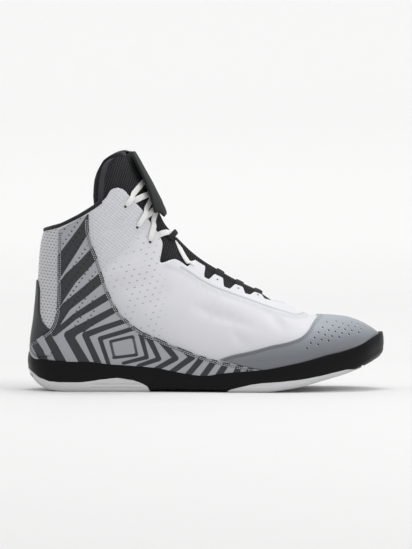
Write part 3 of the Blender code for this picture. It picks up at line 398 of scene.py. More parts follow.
def half_width(station, side):
    """The section's half width at its widest line."""
    local = BALL_WIDTH + (SHAFT_WIDTH - BALL_WIDTH) * follow(SECTIONS, "shaft", station)
    wide = follow(SECTIONS, "lateral" if side < 0 else "medial", station) * local
    _, foot_y, _ = foot_point(station, side)
    low = side * (foot_y - follow(SECTIONS, "lean", station) * BALL_WIDTH)
    own = ease(station, 0.08, 0.30)
    return low * 1.02 * (1 - own) + wide * own, low


def outer(station, tau, side):
    """Point of the upper's outer face.

    tau is -1 at the feather line, 0 on the widest line and 1 on the ridge. Each half section is two
    stretches of superellipse. The lower one starts where it has the feather line's half width, so it
    is nearly straight in the forefoot and closes round the back of the heel.
    """
    station, tau = np.broadcast_arrays(np.asarray(station, float), np.asarray(tau, float))
    wide, low = half_width(station, side)
    widest = follow(SECTIONS, "widest", station)
    tiny = 0.001 * MM
    ratio = np.clip(np.where(wide > tiny, low / np.maximum(wide, tiny), 1), 0, 0.98)
    start = (1 - ratio ** HEEL_FULLNESS) ** (1 / HEEL_FULLNESS)
    down = np.clip(-tau, 0, 1)
    bend = start ** 4
    drop = (1 - bend) * down + bend * np.sin(down * math.pi / 2) ** (2 / HEEL_FULLNESS)
    below = (wide * np.clip(1 - (start * drop) ** HEEL_FULLNESS, 0, 1) ** (1 / HEEL_FULLNESS)
             + (low - ratio * wide) * drop ** 2)
    power = 2 / follow(SECTIONS, "fullness", station)
    up = np.clip(tau, 0, 1) * math.pi / 2
    above = wide * np.clip(np.cos(up), 0, 1) ** power
    width = np.where(tau < 0, below, above)
    share = np.where(tau < 0, widest * (1 - drop), widest + (1 - widest) * np.sin(up) ** power)
    foot_x, _, foot_z = foot_point(station, side)
    ridge_x = follow(RIDGE, "along", station) * LENGTH
    ridge_z = follow(RIDGE, "height", station) * SHAFT_HEIGHT
    lean = follow(SECTIONS, "lean", station) * BALL_WIDTH
    return np.stack([foot_x + (ridge_x - foot_x) * share, lean + side * width,
                     foot_z + (ridge_z - foot_z) * share], axis=-1)


def shifted(station, tau, side, out):
    """The outer face moved by out along its own normal; out is negative towards the foot."""
    station, tau = np.broadcast_arrays(np.asarray(station, float), np.asarray(tau, float))
    step = 0.01
    along = (outer(np.clip(station + step, 0, 2.6), tau, side)
             - outer(np.clip(station - step, 0, 2.6), tau, side))
    across = (outer(station, np.clip(tau + step, -1, 1), side)
              - outer(station, np.clip(tau - step, -1, 1), side))
    normal = np.cross(across, along) * -side
    middle = (tau > 0.999) | ((tau < -0.999) & (station >= 1)) | (station < 1e-6)
    normal[..., 1] = np.where(middle, 0, normal[..., 1])
    size = np.linalg.norm(normal, axis=-1, keepdims=True)
    return outer(station, tau, side) + normal / size * np.asarray(out, dtype=float)[..., None]


def tau_at(station, distance, side):
    """tau of the point above the widest line that lies distance beside the ridge."""
    wide, _ = half_width(station, side)
    power = follow(SECTIONS, "fullness", station) / 2
    return np.arccos(np.clip(distance / wide, 0, 1) ** power) * 2 / math.pi


def throat_half(station):
    """Half width of the throat, narrowed where a lace tab stands out."""
    half = follow(THROAT, "half", station)
    for front, rear, tip in TABS[1:]:
        tab = (ease(station, front - TAB_SLOPE, front + TAB_SLOPE)
               * (1 - ease(station, rear - TAB_SLOPE, rear + TAB_SLOPE)))
        half = half + (tip - half) * tab
    return half * SHAFT_WIDTH


# Side-view tables: steps across and down, as (across, down)
STEP = 0.8 * MM
ORIGIN = (205.9, 389.5)      # the steps at which the frame's origin lies

# Soft folds: side-view line, half width and depth in millimetres. A negative depth is a ridge.
FOLDS = [
    ([(135, 240), (126, 256), (114, 266), (102, 273)], 4.5, 1.4),
    ([(140, 252), (128, 268), (112, 280)], 5.0, -1.1),
    ([(128, 214), (118, 226), (104, 232)], 4.0, 0.8),
    ([(152, 268), (138, 284), (118, 294)], 5.0, 1.3),
    ([(172, 276), (160, 296), (140, 308)], 6.0, 1.1),
    ([(180, 296), (203, 309), (240, 321), (268, 330)], 4.0, 1.1),
    ([(200, 291), (224, 302), (256, 311)], 4.6, -0.7),
    ([(258, 306), (276, 319), (284, 334)], 3.6, 1.2),
    ([(268, 310), (288, 319), (300, 328)], 3.4, -0.9),
    ([(228, 322), (240, 338), (250, 346)], 4.0, 0.8),
    ([(280, 308), (300, 315), (316, 318)], 4.5, 0.8),
    ([(70, 232), (84, 246), (96, 252)], 5.0, 0.6),
    ([(44, 262), (54, 282), (57, 300)], 5.0, 0.6),
]

# Dark stripes of the quarters: middle line with the stripe's width in steps at each end.
STRIPES = [
    ([(54, 276), (72, 249), (84, 231), (92, 217)], 15, 9),
    ([(54, 304), (72, 277), (84, 265), (100, 247)], 14, 11),
    ([(54, 327), (68, 305), (84, 292), (110, 270)], 9, 10),
    ([(56, 332), (76, 315), (92, 305), (118, 289)], 5, 8),
    ([(89, 366), (70, 333), (96, 318.5), (125, 303)], 10, 6),
    ([(101.5, 366), (86.5, 333), (106, 325.6), (132, 317)], 6.6, 5),
    ([(111, 366), (101, 336.5), (125, 329.5), (140, 324.5)], 4.2, 4.6),
    ([(115.2, 355.4), (111.3, 339.4), (133.8, 334.4), (137.6, 352.6), (114.5, 355.4)], 2.9, 2.9),
    ([(34, 338), (41, 349), (49, 366)], 7, 9),
    ([(47, 330), (56, 346), (66, 366)], 7, 10),
    ([(138.3, 322), (147.6, 355), (124, 360.8)], 4.6, 3.4),
    ([(143.5, 324), (159.6, 356.6), (139, 363.4)], 5.6, 3.8),
    ([(155, 331), (176.2, 356), (154, 368)], 6.6, 4.6),
    ([(175, 338), (192.4, 355), (170, 371)], 7, 5),
    ([(207, 350), (197, 362), (184, 377)], 6, 5.6),
    ([(219, 352), (211, 363), (200, 378)], 6, 6),
    ([(231, 354), (225, 363), (215, 378)], 6, 6.4),
    ([(243, 358), (238, 366), (232, 378)], 5.5, 6.4),
    ([(253, 362), (249, 368), (245, 378)], 5, 6),
]

# Outline of the striped quarter. Both lines run from the collar to the tail under the toe cap.
QUARTER_FRONT_LINE = [
    (90, 213), (90.5, 230), (94, 245), (99, 258), (106, 281), (112, 296), (120, 310), (130, 320),
    (140, 328), (160, 337), (180, 345.5), (200, 353), (217, 358), (240, 363), (262, 368),
]
QUARTER_REAR_LINE = [
    (60, 229), (59.5, 250), (59, 280), (58.5, 303), (57, 315), (52, 327), (45, 333), (38, 338), (30, 341),
]
TOE_CAP_LINE = [
    (219, 357), (230, 353), (250, 348.5), (270, 343), (290, 338.5), (300, 334.5), (305, 330.5),
    (308, 327), (311, 322.5), (314, 319), (317, 316.5), (322, 313),
]
TOE_CAP_TAIL = [(219, 357.5), (230, 360), (240, 363), (250, 365), (262, 368), (300, 380)]
COUNTER_LINE = [(38.5, 279), (40.5, 286), (41, 300), (41.5, 312), (44, 320), (48, 325), (52, 328)]
COUNTER_SEAM_LINE = [(52, 329), (45, 335), (38, 340), (34, 342)]
COUNTER_FOOT = 340           # steps down, where the counter ends at the back of the heel
HEEL_MESH_EDGE = 59          # steps across, where the plain heel mesh ends and the quarter starts
EYESTAY_LINE = [
    (166, 262), (172, 264), (180, 266.5), (190, 272.5), (200, 279), (210, 284.5), (230, 292.5), (250, 299.5),
    (270, 306.5), (285, 311), (296, 313), (306, 312),
]
# Perforations of the toe cap: a row's two ends and its number of holes
TOE_HOLES = [
    ((305, 346), (325.5, 322.2), 6), ((316, 342.3), (335, 321.5), 6), ((326.5, 338.8), (341.2, 323.5), 5),
    ((337, 335.7), (350, 322.8), 5), ((346.8, 333.2), (356.5, 324.5), 4), ((356.5, 332), (362.5, 327), 3),
]
# The wings of the tongue above the collar
WING = {
    LATERAL: [(99.5, 225), (100, 201), (100, 193), (101, 183), (102.5, 176), (105, 168), (109, 162),
              (114, 158.5), (119, 156.3), (124, 155.3), (128, 155.3), (134, 157)],
    MEDIAL: [(93.5, 225), (93, 207), (92, 197), (92.5, 187), (93.5, 180), (96, 173), (99, 168), (103, 162.5),
             (108, 157.5), (115, 153), (123, 151), (134, 151)],
}


def side_line(table):
    """A side-view table in metres, as (along, up)."""
    steps = np.array(table, dtype=float)
    return np.stack([steps[..., 0] - ORIGIN[0], ORIGIN[1] - steps[..., 1]], axis=-1) * STEP


def in_steps(points):
    """Where points lie in the side-view tables, as across and down."""
    return points[..., 0] / STEP + ORIGIN[0], ORIGIN[1] - points[..., 2] / STEP


def refine(points, count):
    """A smooth curve through points, read at count even shares of its length."""
    reach = np.concatenate([[0], np.cumsum(np.linalg.norm(np.diff(points, axis=0), axis=1))])
    at = np.linspace(0, reach[-1], count)
    return np.stack([smooth(reach, points[:, k], at) for k in range(points.shape[1])], axis=-1)


def beside(points, distance):
    """A side-view line moved sideways, to its left as it runs."""
    run = np.gradient(points, axis=0)
    run /= np.linalg.norm(run, axis=1, keepdims=True)
    return points + distance * np.stack([-run[:, 1], run[:, 0]], axis=-1)


def halve(low, high, is_low, rounds=30):
    """Where is_low(value) turns from true to false, by halving, for whole arrays at once."""
    for _ in range(rounds):
        middle = (low + high) / 2
        keep = is_low(middle)
        low, high = np.where(keep, middle, low), np.where(keep, high, middle)
    return (low + high) / 2


def locate(points, side):
    """Station and tau of the surface points seen from the side at (along, up).

    Sections are straight lines in this view and fan out in order, so the one through a point is
    found by halving; tau is then found by halving over the height along that section.
    """
    x, z = points[..., 0], points[..., 1]

    def behind(station):
        foot_x, _, foot_z = foot_point(station, side)
        run = follow(RIDGE, "along", station) * LENGTH - foot_x
        rise = follow(RIDGE, "height", station) * SHAFT_HEIGHT - foot_z
        return run * (z - foot_z) - rise * (x - foot_x) > 0

    station = halve(np.zeros(x.shape), np.full(x.shape, 2.6), behind)
    foot_x, _, foot_z = foot_point(station, side)
    run = follow(RIDGE, "along", station) * LENGTH - foot_x
    rise = follow(RIDGE, "height", station) * SHAFT_HEIGHT - foot_z
    share = ((x - foot_x) * run + (z - foot_z) * rise) / (run ** 2 + rise ** 2)

    def under(tau):
        made = outer(station, tau, side)
        return ((made[..., 0] - foot_x) * run + (made[..., 2] - foot_z) * rise
                < share * (run ** 2 + rise ** 2))

    return station, halve(np.full(x.shape, -1.0), np.ones(x.shape), under)


def fold_depth(points):
    """How far the soft folds press the skin in: a bell across each fold's line that fades at its ends."""
    total = np.zeros(points.shape[:-1])
    for table, width, depth in FOLDS:
        curve = refine(side_line(table), 24)
        reach, share = line_distance(points, curve)
        fade = ease(share, 0, 0.4) * (1 - ease(share, 0.6, 1))
        total += depth * MM * np.exp(-(reach / (width * MM)) ** 2) * fade
    return total


def line_distance(points, curve):
    """Distance of points from a side-view line, and the share of its length at the nearest place."""
    x, z = points[..., 0], points[..., 2]
    best = np.full(x.shape, 1.0)
    share = np.zeros(x.shape)
    count = len(curve) - 1
    for k in range(count):
        run = curve[k + 1] - curve[k]
        t = np.clip(((x - curve[k][0]) * run[0] + (z - curve[k][1]) * run[1]) / (run @ run), 0, 1)
        reach = np.hypot(x - curve[k][0] - t * run[0], z - curve[k][1] - t * run[1])
        near = reach < best
        share = np.where(near, (k + t) / count, share)
        best = np.where(near, reach, best)
    return best, share


def skin(station, tau, side, out):
    """Points on the upper's outer face, lifted by out, with the soft folds pressed in."""
    base = outer(station, tau, side)
    return shifted(station, tau, side, np.asarray(out) - fold_depth(base))


def skin_frame(station, tau, side):
    """Two unit directions in the surface at a place, along its section and towards higher stations."""
    step = 0.004
    up = outer(station, np.clip(tau + step, -1, 1), side) - outer(station, np.clip(tau - step, -1, 1), side)
    up = up / np.linalg.norm(up, axis=-1, keepdims=True)
    normal = shifted(station, tau, side, np.full(np.shape(station), MM)) - outer(station, tau, side)
    normal = normal / np.linalg.norm(normal, axis=-1, keepdims=True)
    over = np.cross(up, normal)
    return over, np.cross(normal, over), normal


def throat_edge(station, side):
    """tau of the throat's edge; in front of the throat it is the ridge."""
    half = throat_half(station) * ease(station, THROAT_OPENS, THROAT_OPENS + 0.01)
    return tau_at(station, half, side)


THROAT_OPENS = 0.362         # station of the throat's front end
COLLAR = np.array(COLLAR_EDGE[1:]) * (LENGTH, SHAFT_HEIGHT)


def collar_station(share, side):
    """Station at which each column of the upper crosses the collar's edge."""
    def under(station):
        tau = -1 + (throat_edge(station, side) + 1) * share
        made = outer(station, tau, side)
        return made[..., 2] < np.interp(made[..., 0], COLLAR[:, 0], COLLAR[:, 1])
    return halve(np.full(np.shape(share), 1.6), np.full(np.shape(share), 2.2), under)


def height_tau(stations, side, curve):
    """tau at which each section passes the height of a side-view line that is read over x."""
    order = np.argsort(curve[:, 0])
    xs, zs = curve[order, 0], curve[order, 1]

    def under(tau):
        made = outer(stations, tau, side)
        return made[..., 2] < np.interp(made[..., 0], xs, zs)
    return halve(np.full(stations.shape, -1.0), np.ones(stations.shape), under)


def brim(distance, radius):
    """A rounded edge: a quarter circle from 0 at the edge to 1 at radius from it."""
    return np.sqrt(1 - (1 - np.clip(distance / radius, 0, 1)) ** 2)


def edge_reach(points, rows=(True, True), columns=(True, True)):
    """Distance of each grid point from the grid's border, along its row and its column.

    rows and columns say which sides of the border count: first and last row, first and last column.
    """
    def run(axis):
        steps = np.linalg.norm(np.diff(points, axis=axis), axis=-1)
        pad = [(0, 0), (0, 0)]
        pad[axis] = (1, 0)
        return np.pad(np.cumsum(steps, axis=axis), pad)
    down, over = run(0), run(1)
    sides = (down, down[-1:] - down, over, over[:, -1:] - over)
    return np.minimum.reduce([reach for wanted, reach in zip(rows + columns, sides) if wanted])


def shares(count, border):
    """Shares from 0 to 1 with a few more close to both ends, for rounded borders."""
    inner = np.array([0.12, 0.35, 0.65, 1.0]) * border
    middle = np.linspace(border, 1 - border, count)[1:-1]
    return np.unique(np.concatenate([[0], inner, middle, 1 - inner, [1]]))


def grid_faces(rows, columns, start=0, flip=False, around=False):
    """Quads over a grid of vertices in row order; around closes each row to a ring."""
    i = np.arange(rows - 1)[:, None] * columns
    j = np.arange(columns if around else columns - 1)[None, :]
    k = (j + 1) % columns
    quads = np.stack([i + j, i + k, i + columns + k, i + columns + j], axis=-1).reshape(-1, 4) + start
    return quads[:, ::-1] if flip else quads


def join(shapes):
    """Several (vertices, faces) made one, each one's faces counted on from those before it."""
    verts, faces, start = [], [], 0
    for points, quads in shapes:
        verts.append(points.reshape(-1, 3))
        faces += [[v + start for v in quad] for quad in quads.tolist()]
        start += len(verts[-1])
    return np.concatenate(verts), faces


def grid_shape(points, flip=False, around=False):
    """A grid of points as (vertices, faces)."""
    return points, grid_faces(points.shape[0], points.shape[1], 0, flip, around)


def add_piece(name, shape, finish, replaced=(), attributes=None, weld=0.0, extra=()):
    """A finished mesh that rides on the shoe. Attributes hold one number for each vertex."""
    verts, faces = shape
    mesh = bpy.data.meshes.new(name)
    mesh.from_pydata(verts.reshape(-1, 3), [], faces)
    for key, numbers in (attributes or {}).items():
        layer = mesh.attributes.new(key, "FLOAT", "POINT")
        layer.data.foreach_set("value", np.asarray(numbers, np.float32).ravel())
    if weld:
        work = bmesh.new()
        work.from_mesh(mesh)
        bmesh.ops.remove_doubles(work, verts=work.verts, dist=weld)
        bmesh.ops.dissolve_degenerate(work, edges=work.edges, dist=weld / 10)
        work.to_mesh(mesh)
        work.free()
    mesh.polygons.foreach_set("use_smooth", np.ones(len(mesh.polygons), bool))
    for each in (finish,) + tuple(extra):
        mesh.materials.append(each)
    made = bpy.data.objects.new(name, mesh)
    bpy.context.scene.collection.objects.link(made)
    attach(made, "root")
    if replaced:
        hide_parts(*replaced)
    return made


def flat_cord(path, normals, wide, thick, sides=10):
    """A flat lace: a rounded ellipse of wide by thick carried along a path, its thin way on the normals.

    Both ends close in a point.
    """
    tangent = np.gradient(path, axis=0)
    tangent /= np.linalg.norm(tangent, axis=1, keepdims=True)
    across = np.cross(tangent, normals)
    across /= np.linalg.norm(across, axis=1, keepdims=True)
    up = np.cross(across, tangent)
    turn = np.linspace(0, 2 * math.pi, sides, endpoint=False)
    flat = np.sign(np.cos(turn)) * np.abs(np.cos(turn)) ** 0.7
    tall = np.sign(np.sin(turn)) * np.abs(np.sin(turn)) ** 0.7
    size = np.ones(len(path))
    size[[0, -1]] = 0.02
    rings = (path[:, None] + across[:, None] * (wide / 2 * size[:, None] * flat)[..., None]
             + up[:, None] * (thick / 2 * size[:, None] * tall)[..., None])
    return grid_shape(rings, flip=True, around=True)


def stitch_shape(middle, ahead, normal, length, width, height):
    """Stitches as small six-sided grains, all in one shape: a ring of six points and two tips each."""
    turn = np.linspace(0, 2 * math.pi, 6, endpoint=False)
    side = np.cross(normal, ahead)
    rings = []
    for along, size in ((-0.5, 0.15), (-0.3, 1.0), (0.3, 1.0), (0.5, 0.15)):
        ring = (middle[:, None] + ahead[:, None] * along * length
                + side[:, None] * (np.cos(turn) * width / 2 * size)[None, :, None]
                + normal[:, None] * (np.sin(turn) * height / 2 * size)[None, :, None])
        rings.append(ring)
    grid = np.stack(rings, axis=1)
    grain = grid_faces(4, 6, 0, False, True)
    faces = (grain[None] + (np.arange(len(middle)) * 24)[:, None, None]).reshape(-1, 4)
    return grid.reshape(-1, 3), faces


class Finish:
    """A Principled material whose patterns are worked out from Object coordinates and attributes."""

    def __init__(self, name, colour, roughness, coat=0.0, sheen=0.0, gloss=0.4):
        self.material = bpy.data.materials.new(name)
        self.material.use_nodes = True
        self.nodes, self.links = self.material.node_tree.nodes, self.material.node_tree.links
        self.shader = self.nodes["Principled BSDF"]
        self.shader.inputs["Base Color"].default_value = (*colour, 1)
        self.shader.inputs["Roughness"].default_value = roughness
        self.shader.inputs["Specular IOR Level"].default_value = gloss
        self.shader.inputs["Coat Weight"].default_value = coat
        self.shader.inputs["Sheen Weight"].default_value = sheen
        self.colour = (*colour, 1)
        self.place = self.nodes.new("ShaderNodeTexCoord").outputs["Object"]
        self.parts = self.nodes.new("ShaderNodeSeparateXYZ")
        self.links.new(self.place, self.parts.inputs[0])
        self.height = None

    def math(self, kind, first, second=0.0, third=0.0):
        """One number worked out from others; each may be a socket or a plain value."""
        node = self.nodes.new("ShaderNodeMath")
        node.operation = kind
        for socket, value in zip(node.inputs, (first, second, third)):
            if isinstance(value, (int, float)):
                socket.default_value = value
            else:
                self.links.new(value, socket)
        return node.outputs[0]

    def times(self, first, second):
        return self.math("MULTIPLY", first, second)

    def attribute(self, name):
        """One number for each vertex, stored on the mesh."""
        node = self.nodes.new("ShaderNodeAttribute")
        node.attribute_name = name
        return node.outputs["Fac"]

    def noise(self, size, detail=2.0, stretch=(1, 1, 1)):
        """Soft noise whose blobs are about size across, in metres."""
        turn = self.nodes.new("ShaderNodeMapping")
        turn.inputs["Scale"].default_value = stretch
        self.links.new(self.place, turn.inputs[0])
        node = self.nodes.new("ShaderNodeTexNoise")
        node.inputs["Scale"].default_value = 1 / size
        node.inputs["Detail"].default_value = detail
        self.links.new(turn.outputs[0], node.inputs["Vector"])
        return node.outputs["Fac"]

    def slope(self, along, up):
        """A coordinate that runs across a slanted line of the side view: along times x plus up times z."""
        return self.math("MULTIPLY_ADD", self.parts.outputs["X"], along,
                         self.times(self.parts.outputs["Z"], up))

    def waves(self, along, up, pitch):
        """A sine across slanted lines of the side view, one crest for each pitch."""
        return self.math("SINE", self.times(self.slope(along, up), 2 * math.pi / pitch))

    def step(self, value, low, high):
        """0 below low, 1 above high, straight between."""
        node = self.nodes.new("ShaderNodeMapRange")
        node.inputs["From Min"].default_value = low
        node.inputs["From Max"].default_value = high
        self.links.new(value, node.inputs["Value"])
        return node.outputs[0]

    def tint(self, amount, colour):
        """Mix the colour so far towards another by amount."""
        node = self.nodes.new("ShaderNodeMix")
        node.data_type = "RGBA"
        self.links.new(amount, node.inputs["Factor"])
        if isinstance(self.colour, tuple):
            node.inputs[6].default_value = self.colour
        else:
            self.links.new(self.colour, node.inputs[6])
        node.inputs[7].default_value = (*colour, 1)
        self.colour = node.outputs[2]
        self.links.new(self.colour, self.shader.inputs["Base Color"])
        return self

    def bump(self, height, depth):
        """Raise or sink the look of the surface; depth is in metres."""
        node = self.nodes.new("ShaderNodeBump")
        node.inputs["Distance"].default_value = depth
        self.links.new(height, node.inputs["Height"])
        if self.height is not None:
            self.links.new(self.height, node.inputs["Normal"])
        self.height = node.outputs[0]
        self.links.new(self.height, self.shader.inputs["Normal"])
        return self

    def dashes(self, across, down, size, length):
        """Staggered rows of small marks in the side view: 1 on a mark. Pitches are in metres."""
        row = self.math("DIVIDE", down[0], down[1])
        shift = self.times(self.math("MODULO", self.math("FLOOR", row), 2.0), 0.5)
        column = self.math("ADD", self.math("DIVIDE", across[0], across[1]), shift)
        u = self.math("SUBTRACT", self.math("FRACT", column), 0.5)
        v = self.math("SUBTRACT", self.math("FRACT", row), 0.5)
        u = self.times(u, across[1] / length)
        v = self.times(v, down[1] / size)
        reach = self.math("SQRT", self.math("ADD", self.times(u, u), self.times(v, v)))
        return self.step(reach, 0.62, 0.38)


def white_upper():
    """White knit over foam: slanted ribs at the ankle, a film with pinholes below, mesh at the heel, and
    painted shade on the heel mesh and along the edges of the eyestay and the quarter.
    """
    f = Finish("white_knit", (0.66, 0.66, 0.695), 0.62, coat=0.04, sheen=0.1)
    knit, heel, film = f.attribute("knit"), f.attribute("heel"), f.attribute("film")
    wave = f.times(f.noise(0.005, 2.0), 5.0)
    rib = f.math("SINE", f.math("ADD", f.times(f.slope(0.62, 0.78), 2 * math.pi / 0.0021), wave))
    cross = f.waves(0.78, -0.62, 0.0034)
    ribs = f.times(f.math("MULTIPLY_ADD", cross, 0.35, rib), knit)
    f.tint(f.times(f.step(ribs, 0.1, 1.1), 0.40), (0.38, 0.39, 0.43))
    holes = f.dashes((f.slope(0.97, 0.25), 0.0062), (f.slope(-0.25, 0.97), 0.0046), 0.0008, 0.0018)
    holes = f.times(holes, f.step(f.noise(0.008, 1.0), 0.40, 0.50))
    f.tint(f.times(f.times(holes, film), 0.75), (0.17, 0.17, 0.20))
    # painted shade: the heel mesh is tinted towards grey, as the back of the shoe lies away from the light
    f.tint(f.times(heel, 0.35), (0.36, 0.36, 0.375))
    marks = f.dashes((f.slope(1.0, 0.0), 0.0027), (f.slope(0.12, 1.0), 0.0024), 0.0009, 0.0014)
    f.tint(f.times(f.times(marks, heel), 0.75), (0.12, 0.12, 0.13))
    f.tint(f.times(f.attribute("shade"), 0.55), (0.36, 0.37, 0.41))
    f.bump(ribs, 0.00016).bump(f.times(marks, heel), -0.0003)
    return f.bump(f.noise(0.0011, 2.0), 0.00008).material


def toe_finish():
    """Bluish grey coated overlay, with painted light from above that makes it lighter towards its top."""
    f = Finish("toe_overlay", (0.165, 0.178, 0.195), 0.5, coat=0.04, gloss=0.35)
    # painted light from above: the colour grows lighter with height over the cap
    f.tint(f.step(f.slope(-0.12, 1.0), 0.020, 0.046), (0.335, 0.365, 0.40))
    return f.bump(f.noise(0.0009, 2.0), 0.00007).material


def striped_finish():
    """Light grey overlay with dark stripes, where the stripe attribute is above 0."""
    f = Finish("striped_overlay", (0.345, 0.355, 0.375), 0.52, coat=0.02, gloss=0.3)
    f.tint(f.step(f.attribute("stripe"), -0.12, 0.12), (0.034, 0.036, 0.039))
    pits = f.dashes((f.slope(0.57, 0.82), 0.0040), (f.slope(0.82, -0.57), 0.0056), 0.0013, 0.0013)
    f.tint(f.times(f.times(pits, f.attribute("pits")), 0.85), (0.012, 0.012, 0.014))
    f.bump(f.times(pits, f.attribute("pits")), -0.0003)
    return f.bump(f.noise(0.0008, 2.0), 0.00006).material


def stitch_finish():
    """Thread that is light on dark ground and dark on light ground."""
    f = Finish("stitches", (0.52, 0.53, 0.55), 0.7)
    f.tint(f.step(f.attribute("tone"), 0.4, 0.6), (0.05, 0.05, 0.055))
    return f.material


def rubber(name, colour, roughness, coat, grain, gloss=0.4):
    """A moulded or coated surface with a very fine grain."""
    f = Finish(name, colour, roughness, coat=coat, gloss=gloss)
    return f.bump(f.noise(0.0012, 3.0), grain).material


def ribbed(name, colour, pitch):
    """Dark knitted fabric with zigzag ribs."""
    f = Finish(name, colour, 0.85, sheen=0.06, gloss=0.15)
    zig = f.times(f.math("PINGPONG", f.slope(0.3, 1.0), 0.0013), 0.8)
    row = f.math("ADD", f.slope(1.0, -0.3), zig)
    ribs = f.math("SINE", f.times(row, 2 * math.pi / pitch))
    f.tint(f.attribute("centre"), tuple(0.22 * c for c in colour))
    f.tint(f.times(f.step(ribs, 0.1, 0.9), f.attribute("centre")), colour)
    f.bump(f.times(ribs, f.attribute("centre")), 0.00022)
    return f.bump(f.noise(0.0006, 2.0), 0.00008).material


THREAD_PITCH = 1.1 * MM      # between the threads of a weave


def woven(name, colour, depth, sheen=0.2):
    """A plain weave: two crossing sets of threads."""
    f = Finish(name, colour, 0.75, sheen=sheen, gloss=0.25)
    threads = f.times(f.waves(0.8, 0.6, THREAD_PITCH), f.waves(0.6, -0.8, THREAD_PITCH))
    return f.bump(threads, depth).material


WHITE = white_upper()
TOE = toe_finish()
STRIPED = striped_finish()
THREAD = stitch_finish()
BLACK = rubber("black_rubber", (0.0035, 0.0035, 0.0043), 0.38, 0.03, 0.00005, 0.13)
PALE = rubber("white_rubber", (0.62, 0.62, 0.63), 0.5, 0.05, 0.00005)
DARK = rubber("dark_overlay", (0.036, 0.038, 0.041), 0.5, 0.02, 0.00007, 0.25)
STAY = rubber("white_overlay", (0.68, 0.68, 0.71), 0.55, 0.04, 0.00006)
HOLE = rubber("perforation", (0.012, 0.012, 0.015), 0.8, 0.0, 0.00004)
# pale colour of painted light, where the toe holes' lower rear inner walls face the lamps
LIT_WALL = rubber("perforation_lit_wall", (0.52, 0.54, 0.57), 0.6, 0.0, 0.00004)
LINING = woven("lining", (0.035, 0.035, 0.04), 0.0001, 0.05)
BINDING_CLOTH = woven("binding", (0.020, 0.020, 0.023), 0.00012, 0.05)
LACE_CLOTH = woven("lace_fabric", (0.88, 0.88, 0.87), 0.00016)
COVER_CLOTH = woven("cover_fabric", (0.014, 0.016, 0.0155), 0.00014, 0.05)
TONGUE_CLOTH = ribbed("tongue_fabric", (0.046, 0.046, 0.051), 0.0019)


SIDES = (LATERAL, MEDIAL)


def on_both(make):
    """A shape worked out for the outer and the inner side, with faces outwards, put together."""
    grids = [make(side) for side in SIDES]
    shapes = [grid_shape(points, flip=side > 0) for (points, _), side in zip(grids, SIDES)]
    keys = grids[0][1].keys()
    marks = {key: np.concatenate([marks[key].ravel() for _, marks in grids]) for key in keys}
    return join(shapes), marks


def region_marks(points):
    """Where the white upper is ribbed knit, heel mesh or film, and where it is shaded.

    The borders are in steps of the side view. The shade falls off like a bell from the eyestay's
    edge, and exponentially from the quarter's, where it reaches wider towards the sole.
    """
    across, down = in_steps(points)
    crease = down - (272 - (across - 103) * 1.02)
    ankle = 1 - ease(crease, -3, 3)
    knit = ankle * ease(across, 86, 92)
    heel = 1 - ease(across, HEEL_MESH_EDGE, HEEL_MESH_EDGE + 1)
    film = (1 - ankle) * (1 - ease(across, 150, 175)) * ease(across, 90, 100)
    low, _ = line_distance(points, refine(side_line([(x, y + 3) for x, y in EYESTAY_LINE]), 30))
    seam = np.exp(-(low / (1.7 * MM)) ** 2)
    front, _ = line_distance(points, refine(side_line(QUARTER_FRONT_LINE), 40))
    lower = ease(down, 250, 320) * (1 - ease(across, 130, 215))
    beneath = (0.45 + 0.3 * lower) * np.exp(-front / ((5 + 13 * lower) * MM))
    shade = np.clip(0.5 * seam + beneath, 0, 1)
    return {"knit": knit, "heel": heel, "film": film, "shade": shade}


def make_upper():
    """The white upper: a fine outer skin whose rims fold in, and a dark lining under it.

    Rows run from the toe to the collar, columns from the sole to the ridge or the throat's edge.
    """
    rows, columns = 300, 74
    bend = 0.68              # share of the rows that lie between the toe and the heel's corner
    rim = np.array([0.1, 0.35, 0.7, 1.0]) * (WALL - 0.25 * MM)

    def skin_grid(side, high, wide, fold, level):
        share = np.linspace(0, 1, wide)
        top = collar_station(share, side)
        row = np.linspace(0, 1, high)[:, None]
        station = np.where(row < bend, row / bend, 1 + (row - bend) / (1 - bend) * (top - 1))
        tau = -1 + (throat_edge(station, side) + 1) * share
        out = np.full(station.shape, level)
        if fold:
            station = np.concatenate([station] + [station[-1:]] * len(rim))
            tau = np.concatenate([tau] + [tau[-1:]] * len(rim))
            out = np.concatenate([out] + [out[-1:] - depth for depth in rim])
            open_rows = station[:, -1:] > THROAT_OPENS
            station = np.concatenate([station] + [station[:, -1:]] * len(rim), axis=1)
            tau = np.concatenate([tau] + [tau[:, -1:]] * len(rim), axis=1)
            hem = [np.minimum(out[:, -1:], -depth * open_rows) for depth in rim]
            out = np.concatenate([out] + hem, axis=1)
        points = skin(station, tau, side, out)
        return points, region_marks(points) if fold else {}

    shape, marks = on_both(lambda side: skin_grid(side, rows, columns, True, 0.0))
    add_piece("upper_skin", shape, WHITE, ("upper",), marks, weld=SEAM)
    shape, _ = on_both(lambda side: skin_grid(side, 90, 26, False, 0.3 * MM - WALL))
    verts, faces = shape
    faces = [face[::-1] for face in faces]
    add_piece("upper_lining", (verts, faces), LINING, weld=SEAM)


def overlay_lift(reach, radius, thickness):
    """Height of an overlay over the skin: full away from its border, sunk a little at the border."""
    return brim(reach, radius) * (thickness + BORDER_SINK) - BORDER_SINK


def raised(station, tau, side, points, thickness, **borders):
    """An overlay's outer face: it stands thickness off the skin, and its rounded border dips under it."""
    lift = overlay_lift(edge_reach(points, **borders), BORDER_ROUND, thickness)
    return skin(station, tau, side, lift)


def hem_reach(flat, rows, hemmed):
    """Distance from the lower border and the ends, and from the upper border where it is hemmed."""
    upper = edge_reach(flat, rows=(False, False), columns=(False, True))
    return np.minimum(edge_reach(flat, rows=rows, columns=(True, False)),
                      np.where(hemmed[:, None], upper, 1))


def ruled(start, end, count, border):
    """Stations and taus between two boundary lines of (station, tau), straight from one to the other."""
    share = shares(count, border)
    return [a[:, None] + (b - a)[:, None] * share for a, b in zip(start, end)]


